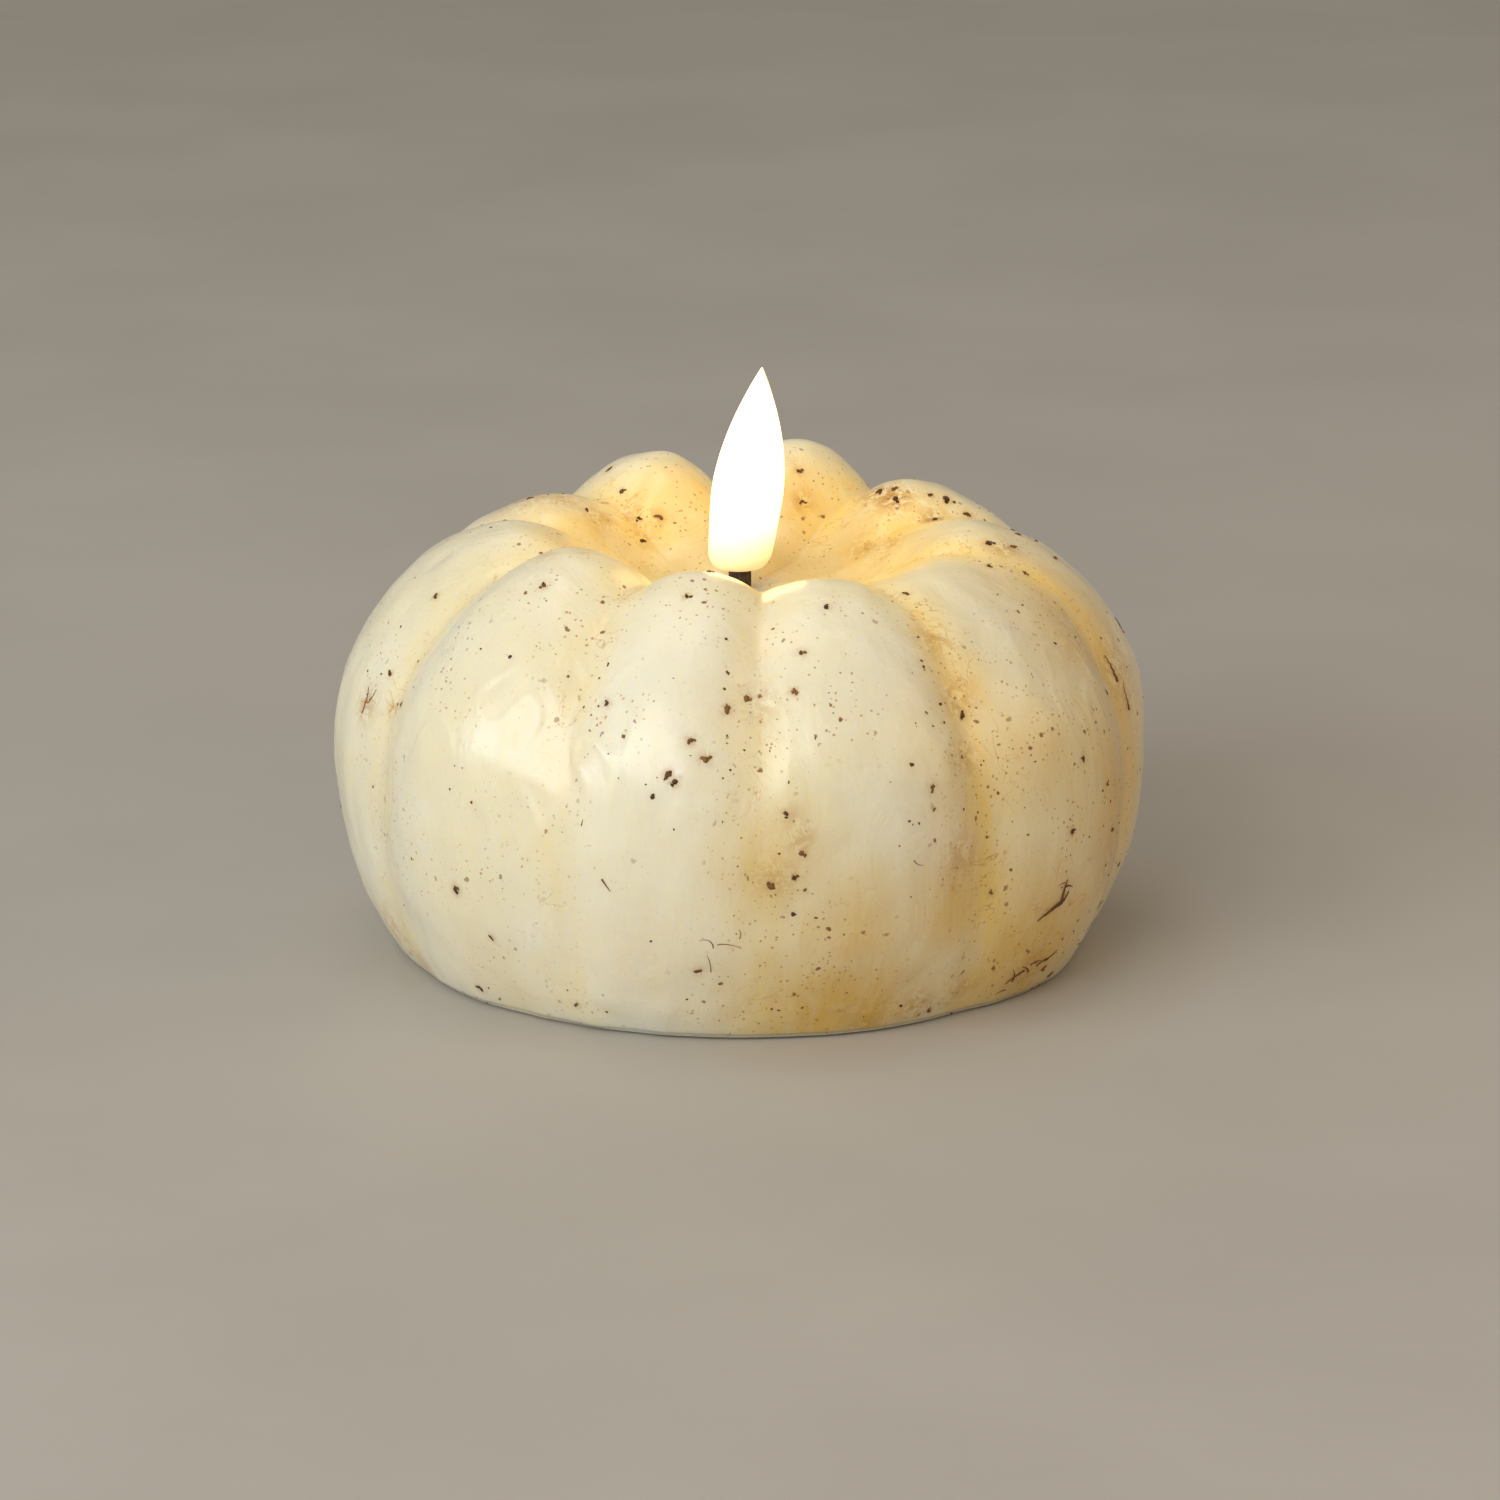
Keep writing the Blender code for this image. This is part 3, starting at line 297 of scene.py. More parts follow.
def add_piece(name, data):
    piece = bpy.data.objects.new(name, data)
    bpy.context.scene.collection.objects.link(piece)
    return piece


def make_mesh(name, vertices, faces, smooth=True):
    mesh = bpy.data.meshes.new(name)
    mesh.from_pydata([tuple(v) for v in vertices], [], [tuple(f) for f in faces])
    if smooth:
        mesh.shade_smooth()
    return add_piece(name, mesh)


def face_outwards(piece):
    work = bmesh.new()
    work.from_mesh(piece.data)
    bmesh.ops.recalc_face_normals(work, faces=work.faces)
    work.to_mesh(piece.data)
    work.free()


def bmesh_piece(name, work, smooth_angle=40):
    mesh = bpy.data.meshes.new(name)
    bmesh.ops.recalc_face_normals(work, faces=work.faces)
    work.to_mesh(mesh)
    work.free()
    mesh.shade_smooth()
    mesh.set_sharp_from_angle(angle=math.radians(smooth_angle))
    return add_piece(name, mesh)


def new_tube(name, radius, resolution):
    """An empty curve that shows as a round tube; radius in mm."""
    curve = bpy.data.curves.new(name, "CURVE")
    curve.dimensions = "3D"
    curve.bevel_depth = radius * MM
    curve.bevel_resolution = resolution
    curve.use_fill_caps = True
    return curve


def store(piece, name, values):
    layer = piece.data.attributes.new(name, "FLOAT", "POINT")
    layer.data.foreach_set("value", np.asarray(values, np.float32).ravel())


def keep_inside(place, margin=0.0):
    """The nearest place, in metres, that is at least margin inside the CAD box."""
    return Vector(min(max(place[i], cad_low[i] + margin), cad_high[i] - margin) for i in range(3))


def dress(piece, material, body="candle"):
    piece.data.materials.clear()
    piece.data.materials.append(material)
    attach(piece, body)
    return piece


# Shader helpers

def add_node(material, kind, inputs=None, **settings):
    """Add a shader node; an input given as a socket is linked, anything else is its value."""
    tree = material.node_tree
    made = tree.nodes.new("ShaderNode" + kind)
    for name, value in settings.items():
        setattr(made, name, value)
    for name, value in (inputs or {}).items():
        if isinstance(value, bpy.types.NodeSocket):
            tree.links.new(value, made.inputs[name])
        else:
            made.inputs[name].default_value = value
    return made


def new_material(name, colour, roughness, metallic=0.0, **sockets):
    """A Principled material; other sockets are given by name with underscores for spaces."""
    material = bpy.data.materials.new(name)
    material.use_nodes = True
    shader = shader_of(material)
    shader.inputs["Base Color"].default_value = (*colour, 1.0)
    shader.inputs["Roughness"].default_value = roughness
    shader.inputs["Metallic"].default_value = metallic
    for socket, value in sockets.items():
        shader.inputs[socket.replace("_", " ")].default_value = value
    return material


def shader_of(material):
    return material.node_tree.nodes["Principled BSDF"]


def connect(material, source, socket):
    material.node_tree.links.new(source, shader_of(material).inputs[socket])


def object_place(material, scale=(1, 1, 1)):
    place = add_node(material, "TexCoord").outputs["Object"]
    return add_node(material, "Mapping", {"Vector": place, "Scale": scale}).outputs["Vector"]


def clouds(material, place, scale, detail=2.0, roughness=0.5, distortion=0.0):
    inputs = {"Vector": place, "Scale": scale, "Detail": detail, "Roughness": roughness,
              "Distortion": distortion}
    return add_node(material, "TexNoise", inputs).outputs["Fac"]


def remap(material, value, low, high, to_low=0.0, to_high=1.0, kind="SMOOTHSTEP"):
    inputs = {"Value": value, "From Min": low, "From Max": high, "To Min": to_low, "To Max": to_high}
    return add_node(material, "MapRange", inputs, interpolation_type=kind).outputs["Result"]


def maths(material, operation, first, second=0.0):
    return add_node(material, "Math", {0: first, 1: second}, operation=operation).outputs["Value"]


def times(material, first, second):
    return maths(material, "MULTIPLY", first, second)


def blend(material, factor, first, second):
    first = (*first, 1.0) if isinstance(first, tuple) else first
    second = (*second, 1.0) if isinstance(second, tuple) else second
    return add_node(material, "Mix", {0: factor, 6: first, 7: second}, data_type="RGBA").outputs[2]


def attribute(material, name):
    return add_node(material, "Attribute", attribute_name=name).outputs["Fac"]


def specks(material, place, scale, radius, share, shift=0.0):
    """Broken round specks; radius is in cells, share is the part of the cells that hold one."""
    wobble = add_node(material, "TexNoise", {"Vector": place, "Scale": scale * 1.9, "Detail": 1.0})
    reach = (0.55 / scale,) * 3
    warped = add_node(material, "VectorMath", {0: wobble.outputs["Color"], 1: reach, 2: place},
                      operation="MULTIPLY_ADD").outputs[0]
    moved = add_node(material, "VectorMath", {0: warped, 1: (shift,) * 3}, operation="ADD").outputs[0]
    cells = add_node(material, "TexVoronoi", {"Vector": moved, "Scale": scale, "Randomness": 1.0})
    chance = add_node(material, "SeparateColor", {"Color": cells.outputs["Color"]})
    chosen = maths(material, "LESS_THAN", chance.outputs["Red"], share)
    outer = times(material, remap(material, chance.outputs["Green"], 0, 1, 0.35, 1.0), radius)
    inner = times(material, outer, 0.55)
    dot = remap(material, cells.outputs["Distance"], inner, outer, 1.0, 0.0)
    return times(material, dot, chosen)


def bump(material, height, strength, distance, normal=None):
    inputs = {"Height": height, "Strength": strength, "Distance": distance}
    if normal is not None:
        inputs["Normal"] = normal
    return add_node(material, "Bump", inputs).outputs["Normal"]


# Wax body

def lobe_bulge(position):
    """0 in a valley, 1 on a crest; position runs from -1 to 1 across a lobe."""
    edge = 1 - np.abs(position)
    top = math.sqrt(1 + VALLEY_SOFTNESS ** 2) - VALLEY_SOFTNESS
    edge = (np.sqrt(edge ** 2 + VALLEY_SOFTNESS ** 2) - VALLEY_SOFTNESS) / top
    return 1 - (1 - edge) ** LOBE_ROUNDNESS


def valley_directions(share):
    """Each valley's direction in degrees at a share of the way from the foot to the stem hole."""
    paths = [np.interp(share, PATH_SHARES, path) for path in VALLEY_PATHS]
    return np.array(LOBE_VALLEYS) + paths


def lobe_pattern(azimuths, valleys):
    """Place across the lobe, lobe number, nearest valley and half width at each azimuth."""
    widths = np.diff(np.append(valleys, valleys[0] + 360))
    turned = np.where(azimuths < valleys[0], azimuths + 360, azimuths)
    lobe = clamp(np.searchsorted(valleys, turned, side="right") - 1, 0, len(valleys) - 1).astype(int)
    half = widths[lobe] / 2
    position = (turned - valleys[lobe] - half) / half
    nearest = np.where(position < 0, lobe, (lobe + 1) % len(valleys))
    return position, lobe, nearest, half


def wax_outer_grid():
    """Outer surface points in mm, with the distance in mm to the nearest valley and its number."""
    crest = smooth_curve(CREST_PROFILE, WAX_RINGS)
    valley = smooth_curve(VALLEY_PROFILE, WAX_RINGS)
    azimuth = np.arange(WAX_COLUMNS) * 360 / WAX_COLUMNS
    shares = np.linspace(0, 1, WAX_RINGS)
    patterns = [lobe_pattern(azimuth, valley_directions(share)) for share in shares]
    position, lobe, nearest, half = (np.array(rows) for rows in zip(*patterns))
    foot = np.array(VALLEY_FOOT_DEPTHS)[nearest]
    depth = foot + (1 - foot) * ease(valley[:, 1:], FOOT_DEPTH_HEIGHT, FULL_DEPTH_HEIGHT)
    bulge = 1 - (1 - lobe_bulge(position)) * depth
    radius = valley[:, :1] + (crest[:, :1] - valley[:, :1]) * bulge
    height = valley[:, 1:] + (crest[:, 1:] - valley[:, 1:]) * bulge
    lift = clamp((height - HEIGHT_STARTS) / HEIGHT_BLEND)
    height = height + np.array(LOBE_HEIGHTS)[lobe] * bulge * lift
    turn = np.radians(azimuth)[None]
    points = np.stack([radius * np.sin(turn), -radius * np.cos(turn), height], -1)
    groove = (1 - np.abs(position)) * np.radians(half) * radius
    return points, groove, nearest


def axis_distance(points):
    return np.linalg.norm(points[..., :2], axis=-1)


def grid_normals(points):
    along = np.roll(points, -1, 1) - np.roll(points, 1, 1)
    up = np.gradient(points, axis=0)
    normals = np.cross(along, up)
    return normals / np.maximum(np.linalg.norm(normals, axis=-1, keepdims=True), 1e-9)


def noise_field(points, scale, stretch=1.0):
    """Smooth noise from -1 to 1 at each point; scale in mm, stretched along Z."""
    flat = points.reshape(-1, 3) / np.array([scale, scale, scale * stretch])
    return np.array([noise.noise(Vector(p)) for p in flat]).reshape(points.shape[:-1])


def carve(points):
    """Hand-worked unevenness: broad flats, upright scrapes, small lumps and wax runs, all inwards."""
    normals = grid_normals(points)
    depth = sum(share * (level + noise_field(points + start, size, stretch))
                for share, level, size, stretch, start in CARVINGS)
    outline = noise_field(points + 20.0, 6.5, 1.6)
    depth += RUN_DEPTH * blotches(points, WAX_RUNS) * (1 - np.exp(-(outline / RUN_WIDTH) ** 2))
    rim = clamp((axis_distance(points) - CARVING_STARTS) / CARVING_BLEND)
    return points - normals * (np.maximum(depth, 0) * rim)[..., None]


def fit_to_cad(points):
    """Centre the outer surface and give it exactly the CAD shell's box; the well stays round its stem."""
    low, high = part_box("wax_shell")
    span = points.reshape(-1, 3)
    made_low, made_high = span.min(0), span.max(0)
    middle = (made_low + made_high) / 2
    share = axis_distance(points) / made_high[0]
    points[..., :2] -= middle[:2] * clamp(share ** 2 * 1.6)[..., None]
    for axis in (0, 1):
        reach = np.abs(points[..., axis]).max()
        points[..., axis] *= min(abs(low[axis]), high[axis]) / MM / reach
    points[..., 2] *= high.z / MM / made_high[2]
    return points


def blotches(points, spots):
    """Soft spots given as (degrees, radius, height, size, strength); the strongest counts."""
    total = np.zeros(points.shape[:-1])
    for azimuth, radius, height, size, strength in spots:
        turn = math.radians(azimuth)
        middle = np.array([radius * math.sin(turn), -radius * math.cos(turn), height])
        distance = np.linalg.norm(points - middle, axis=-1)
        total = np.maximum(total, strength * np.exp(-(distance / size) ** 2))
    return total


def halo_values(points, places):
    """Rust halos round the larger flecks."""
    total = np.zeros(points.shape[:-1])
    for (row, column), size in places:
        if size < HALO_FLECK:
            continue
        distance = np.linalg.norm(points - points[row, column], axis=-1)
        total = np.maximum(total, 0.6 * np.exp(-(distance / (size * 0.75)) ** 2))
    return total


def glow_values(points, normals):
    """Painted glow standing in for the flame's light on the wax: strongest near the flame and on faces
    turned towards it.
    """
    reach = np.array(GLOW_HEART) - points
    distance = np.linalg.norm(reach, axis=-1)
    facing = clamp((reach * normals).sum(-1) / distance * 0.5 + 0.65)
    return np.exp(-((distance - GLOW_DISTANCE) / GLOW_FADE) ** 2) * facing


def bottom_rings(first):
    """Rounded bottom edge and the flat annulus under the wax, from the inner lip outwards."""
    radius = axis_distance(first)
    rings = []
    for inset, level in ((0.9, BOTTOM_Z), (0.35, BOTTOM_Z + 0.04), (0.10, BOTTOM_Z + 0.2)):
        ring = first * ((radius - inset) / radius)[:, None]
        ring[:, 2] = level
        rings.append(ring)
    return np.stack(rings)


def make_wax():
    points, groove, nearest = wax_outer_grid()
    points = fit_to_cad(carve(points))
    normals = grid_normals(points)
    places = fleck_places(points)
    cavity = np.vstack([smooth_curve(CAVITY_PROFILE, 34), [(40.0, 0.45), (40.5, BOTTOM_Z)]])
    turn = np.arange(WAX_COLUMNS) * math.tau / WAX_COLUMNS
    inner = np.stack([cavity[:, :1] * np.sin(turn)[None], -cavity[:, :1] * np.cos(turn)[None],
                      cavity[:, 1:] + 0 * turn[None]], -1)
    edge = bottom_rings(points[0])
    outer = points.copy()
    outer[0, :, 2] = BOTTOM_Z + 0.6
    grid = np.vstack([outer, inner, edge])
    faces = grid_faces(len(grid), WAX_COLUMNS, closed_rings=True)
    wax = make_mesh("pumpkin_wax", grid.reshape(-1, 3) * MM, faces)
    face_outwards(wax)
    plain = np.zeros((len(inner) + len(edge), WAX_COLUMNS))
    reach = axis_distance(points)
    away = clamp((reach - 14) / 10)
    valley = np.exp(-(groove / VALLEY_WIDTH) ** 2) * away * np.array(VALLEY_TINTS)[nearest]
    values = {
        "valley": valley,
        "stain": np.maximum(blotches(points, STAINS), halo_values(points, places)),
        # Warm gold tint: partly spice dust, partly painted warm shade on the lower sides, and over the well
        # painted warm light from the flame
        "dust_and_shade": np.maximum(blotches(points, DUST_AND_SHADE_PATCHES), 0.6 * ease(-reach, -31, -22)),
        # Painted glow near the flame, plus painted glow in the upper valleys standing in for light through
        # the wax
        "glow": glow_values(points, normals) + 0.45 * valley * ease(points[..., 2], 25, 45),
    }
    for name, value in values.items():
        store(wax, name, np.vstack([value, plain]))
    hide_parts("wax_shell")
    dress(wax, wax_material())
    return points, normals, places


def wax_material():
    wax = new_material("pumpkin_wax", (0.86, 0.80, 0.60), 0.38, Subsurface_Weight=0.85,
                       Subsurface_Radius=(1.0, 0.82, 0.42), Subsurface_Scale=0.006, IOR=1.46,
                       Coat_Weight=0.6, Coat_Roughness=0.24)
    place = object_place(wax)
    cloud = clouds(wax, place, 45.0, 3.0, 0.55)
    colour = blend(wax, remap(wax, cloud, 0.35, 0.7), WAX_PALE, WAX_WARM)
    dust_and_shade = attribute(wax, "dust_and_shade")
    stain = attribute(wax, "stain")
    valley = attribute(wax, "valley")
    streak = clouds(wax, object_place(wax, (1, 1, 0.25)), 240.0, 4.0, 0.65, 0.6)
    # Warm gold patches: partly spice dust, partly painted warm shade, and painted flame light in the well
    dust_and_shade_share = times(wax, dust_and_shade, remap(wax, streak, 0.25, 0.75, 0.75, 1.15))
    colour = blend(wax, dust_and_shade_share, colour, DUST_AND_SHADE_GOLD)
    # Valley tint: partly spice stain, partly painted shade that darkens and yellows the valleys
    groove = times(wax, valley, remap(wax, streak, 0.30, 0.70, 0.20, 0.75))
    colour = blend(wax, groove, colour, VALLEY_GOLD)

    patch = clouds(wax, place, 620.0, 5.0, 0.8, 0.6)
    soaked = times(wax, stain, remap(wax, patch, 0.42, 0.53))
    colour = blend(wax, times(wax, soaked, 0.9), colour, STAIN_BROWN)
    core = times(wax, remap(wax, stain, 0.45, 1.0), remap(wax, patch, 0.54, 0.64))
    colour = blend(wax, core, colour, STAIN_CORE)

    vein = clouds(wax, place, 110.0, 3.0, 0.6, 1.5)
    vein = maths(wax, "ABSOLUTE", maths(wax, "SUBTRACT", vein, 0.5))
    dirt = maths(wax, "MAXIMUM", stain, valley)
    dirt = maths(wax, "MAXIMUM", times(wax, dust_and_shade, 0.5), dirt)
    broken = times(wax, remap(wax, clouds(wax, place, 130.0, 2.0), 0.50, 0.62),
                   remap(wax, dirt, 0.05, 0.6, 0.08, 0.9))
    hairline = times(wax, remap(wax, vein, 0.0, 0.014, 1.0, 0.0), broken)
    colour = blend(wax, times(wax, hairline, 0.75), colour, HAIRLINE_BROWN)

    where = maths(wax, "ADD", remap(wax, clouds(wax, place, 70.0, 3.0), 0.42, 0.68), dirt)
    where = maths(wax, "MINIMUM", where, 1.0)
    dust = times(wax, specks(wax, place, 1500.0, 0.36, 0.45), where)
    colour = blend(wax, times(wax, dust, 0.75), colour, DUST_BROWN)
    grains = times(wax, specks(wax, place, 700.0, 0.30, 0.26, 3.7), where)
    colour = blend(wax, times(wax, grains, 0.95), colour, GRAIN_BROWN)
    colour = blend(wax, specks(wax, place, 300.0, 0.11, 0.09, 9.1), colour, SPECK_DARK)
    connect(wax, colour, "Base Color")

    polish = clouds(wax, place, 90.0, 3.0, 0.6)
    connect(wax, remap(wax, polish, 0.3, 0.75, 0.27, 0.46), "Roughness")
    grain = clouds(wax, place, 900.0, 4.0, 0.7)
    ripple = clouds(wax, object_place(wax, (1, 1, 0.5)), 170.0, 3.0, 0.6, 1.0)
    rippled = bump(wax, ripple, 0.5, 0.0007)
    scrape = clouds(wax, object_place(wax, (1, 1, 0.12)), 620.0, 3.0, 0.6)
    scraped = bump(wax, scrape, 0.35, 0.0002, rippled)
    pores = bump(wax, specks(wax, place, 620.0, 0.30, 0.25, 5.3), -0.25, 0.0002, scraped)
    connect(wax, bump(wax, grain, 0.12, 0.0001, pores), "Normal")

    # Painted glow: the wax emits its own colour, tinted warm, as much as the glow attribute says, in place
    # of the flame's light falling on it and shining through it
    lit = add_node(wax, "Mix", {0: 1.0, 6: colour, 7: (*GLOW_TINT, 1.0)}, data_type="RGBA",
                   blend_type="MULTIPLY").outputs[2]
    connect(wax, lit, "Emission Color")
    connect(wax, times(wax, attribute(wax, "glow"), 0.33), "Emission Strength")
    return wax


# Flecks and fibres on the wax

def side_place(points, azimuth, height):
    """Grid row and column on the outer side at a given height."""
    column = int(round((azimuth % 360) * WAX_COLUMNS / 360)) % WAX_COLUMNS
    top = int(points[:, column, 2].argmax())
    row = int(np.abs(points[:top, column, 2] - height).argmin())
    return row, column


def top_place(points, azimuth, radius):
    """Grid row and column on the top or in the well at a given radius."""
    column = int(round((azimuth % 360) * WAX_COLUMNS / 360)) % WAX_COLUMNS
    reach = np.linalg.norm(points[:, column, :2], axis=-1)
    start = WAX_RINGS * 4 // 11
    return start + int(np.abs(reach[start:] - radius).argmin()), column


def fleck_places(points):
    rng = random.Random(SEED)
    places = [(side_place(points, azimuth, height), size) for azimuth, height, size in SIDE_FLECKS]
    places += [(top_place(points, azimuth, radius), size) for azimuth, radius, size in TOP_FLECKS]
    for azimuth, height, spread, count in FLECK_CROWDS:
        for _ in range(count):
            place = side_place(points, azimuth + rng.gauss(0, spread), height + rng.gauss(0, spread * 0.8))
            places.append((place, 0.26 + 0.36 * rng.random() ** 2))
    for _ in range(BACK_FLECKS):
        azimuth = rng.uniform(88, 276)
        size = 0.30 + 0.85 * rng.random() ** 2.6
        if rng.random() < 0.8:
            places.append((side_place(points, azimuth, rng.uniform(2, 55)), size))
        else:
            places.append((top_place(points, azimuth, rng.uniform(30, 44)), size))
    return places


def add_grain(work, middle, normal, size, rng):
    """One flat, broken grain of spice, half sunk in the wax."""
    made = bmesh.ops.create_icosphere(work, subdivisions=2, radius=0.5)
    stretch = (size * rng.uniform(0.85, 1.15), size * rng.uniform(0.5, 0.9), size * 0.36)
    side = normal.orthogonal().normalized()
    turn = Matrix((side, normal.cross(side), normal)).transposed()
    turn = turn @ Matrix.Rotation(rng.uniform(0, math.tau), 3, "Z")
    shift = Vector(rng.uniform(0, 50) for _ in range(3))
    for vertex in made["verts"]:
        rough = 1 + 0.8 * noise.noise(vertex.co * 3.0 + shift)
        local = Vector(a * b * rough for a, b in zip(vertex.co, stretch))
        vertex.co = keep_inside((middle + turn @ local - normal * size * 0.02) * MM)


def make_flecks(points, normals, places):
    rng = random.Random(SEED + 1)
    work = bmesh.new()
    for (row, column), size in places:
        middle = Vector(points[row, column])
        normal = Vector(normals[row, column])
        add_grain(work, middle, normal, size * 0.82, rng)
        if size > CLUSTER_FLECK:
            side = Matrix.Rotation(rng.uniform(0, math.tau), 3, normal) @ normal.orthogonal().normalized()
            add_grain(work, middle + side * size * 0.48, normal, size * rng.uniform(0.4, 0.6), rng)
    flecks = bmesh_piece("spice_flecks", work, 180)
    dress(flecks, fleck_material())


def fleck_material():
    fleck = new_material("spice_fleck", (0.09, 0.04, 0.02), 0.6, Specular_IOR_Level=0.3)
    place = object_place(fleck)
    tone = clouds(fleck, place, 190.0, 2.0)
    colour = blend(fleck, remap(fleck, tone, 0.42, 0.66), (0.06, 0.028, 0.012), (0.24, 0.11, 0.035))
    grit = clouds(fleck, place, 2600.0, 3.0)
    colour = blend(fleck, remap(fleck, grit, 0.45, 0.7, 0.0, 0.4), colour, (0.28, 0.15, 0.06))
    connect(fleck, colour, "Base Color")
    connect(fleck, bump(fleck, grit, 0.6, 0.0001), "Normal")
    return fleck


def make_fibres(points, normals):
    """Thin fibres that lie on the wax, each a bent tube walked over the surface."""
    curve = new_tube("plant_fibres", FIBRE_RADIUS, 2)
    for azimuth, height, length, heading, curl, thickness in FIBRES:
        spline = curve.splines.new("POLY")
        spline.points.add(FIBRE_STEPS - 1)
        direction = math.radians(heading)
        for i in range(FIBRE_STEPS):
            row, column = side_place(points, azimuth, height)
            reach = Vector(points[row, column]).xy.length
            turn = math.radians(azimuth)
            place = Vector((reach * math.sin(turn), -reach * math.cos(turn), height))
            place += Vector(normals[row, column]) * 0.03
            spline.points[i].co = (*keep_inside(place * MM, FIBRE_RADIUS * MM * thickness), 1.0)
            spline.points[i].radius = thickness * (1.0 - 0.7 * i / FIBRE_STEPS)
            direction += curl * 1.6 / FIBRE_STEPS + 0.16 * math.sin(i * 2.3 + heading)
            azimuth += math.degrees(math.cos(direction) * length / FIBRE_STEPS / SIDE_RADIUS)
            height += math.sin(direction) * length / FIBRE_STEPS
    dress(add_piece("plant_fibres", curve), fibre_material())


def fibre_material():
    fibre = new_material("plant_fibre", (0.25, 0.12, 0.04), 0.6)
    tone = remap(fibre, clouds(fibre, object_place(fibre), 260.0, 2.0), 0.35, 0.65)
    connect(fibre, blend(fibre, tone, (0.08, 0.03, 0.012), (0.34, 0.15, 0.04)), "Base Color")
    return fibre


# Flame

def make_flame():
    low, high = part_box("flame_bulb")
    bottom = low.z / MM
    height = (high.z - low.z) / MM
    outline = smooth_curve(FLAME_OUTLINE, 64)
    turn = np.arange(FLAME_COLUMNS) * math.tau / FLAME_COLUMNS
    share = clamp(outline[:, :1])
    radius = np.maximum(outline[:, 1:] * FLAME_HALF_WIDTH, 0.05)
    centre = FLAME_FOOT + FLAME_LEAN * share
    outer = np.stack([centre + radius * np.cos(turn)[None],
                      FLAME_DEPTH_RATIO * radius * np.sin(turn)[None],
                      bottom + share * height + 0 * turn[None]], -1)
    ring = np.stack([FLAME_HOLE * np.cos(turn), FLAME_HOLE * np.sin(turn), 0 * turn], -1)
    lip = np.stack([ring + (0, 0, bottom + FLAME_WALL), ring + (0, 0, bottom)])
    inside = [row for row in range(len(outer))
              if radius[row, 0] > FLAME_HOLE and share[row, 0] * height > FLAME_WALL]
    inner = outer[inside].copy()
    shrink = (radius[inside] - FLAME_WALL) / radius[inside]
    inner[..., 0] = centre[inside] + (inner[..., 0] - centre[inside]) * shrink
    inner[..., 1] *= shrink
    grid = np.vstack([inner[::-1], lip, outer])
    faces = [tuple(f) for f in grid_faces(len(grid), FLAME_COLUMNS)]
    faces.append(tuple(range(FLAME_COLUMNS)))
    faces.append(tuple(range((len(grid) - 1) * FLAME_COLUMNS, len(grid) * FLAME_COLUMNS)))
    flame = make_mesh("flame_glow", grid.reshape(-1, 3) * MM, faces)
    face_outwards(flame)
    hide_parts("flame_bulb")
    dress(flame, flame_material(bottom * MM, height * MM))


def flame_material(bottom, height):
    flame = new_material("flame_glow", (1.0, 0.88, 0.64), 0.35, Subsurface_Weight=0.2,
                         Subsurface_Radius=(1.0, 0.7, 0.4), Subsurface_Scale=0.002)
    place = add_node(flame, "TexCoord").outputs["Object"]
    level = add_node(flame, "SeparateXYZ", {"Vector": place}).outputs["Z"]
    share = remap(flame, level, bottom, bottom + height, kind="LINEAR")
    heat = blend(flame, remap(flame, share, 0.0, 0.3), (1.0, 0.70, 0.36), (1.0, 0.74, 0.40))
    connect(flame, heat, "Emission Color")
    rise = remap(flame, share, 0.02, 0.30, 0.36, 2.2)
    tip = remap(flame, share, 0.80, 1.0, 0.0, 0.9)
    connect(flame, maths(flame, "SUBTRACT", rise, tip), "Emission Strength")
    return flame


# Moulded base and the parts in it

def moulded_plastic(name, colour, roughness=0.48, texture=1500.0):
    plastic = new_material(name, colour, roughness, Specular_IOR_Level=0.45)
    place = object_place(plastic)
    grain = clouds(plastic, place, texture, 3.0, 0.6)
    flow = clouds(plastic, place, 260.0, 3.0)
    darker = tuple(c * 0.94 for c in colour)
    connect(plastic, blend(plastic, remap(plastic, flow, 0.3, 0.75), colour, darker), "Base Color")
    connect(plastic, remap(plastic, grain, 0.3, 0.7, roughness - 0.06, roughness + 0.10), "Roughness")
    connect(plastic, bump(plastic, grain, 0.25, 0.00008), "Normal")
    return plastic


def plated_metal(name, colour, roughness=0.28):
    metal = new_material(name, colour, roughness, 1.0)
    scratch = clouds(metal, object_place(metal, (1, 6, 1)), 900.0, 3.0, 0.7)
    tarnish = clouds(metal, object_place(metal), 180.0, 3.0)
    darker = tuple(c * 0.72 for c in colour)
    connect(metal, blend(metal, remap(metal, tarnish, 0.4, 0.75), colour, darker), "Base Color")
    connect(metal, remap(metal, scratch, 0.3, 0.7, roughness - 0.08, roughness + 0.14), "Roughness")
    connect(metal, bump(metal, scratch, 0.15, 0.00005), "Normal")
    return metal


def repaint(node, material):
    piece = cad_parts[node]
    piece.data.materials.clear()
    piece.data.materials.append(material)


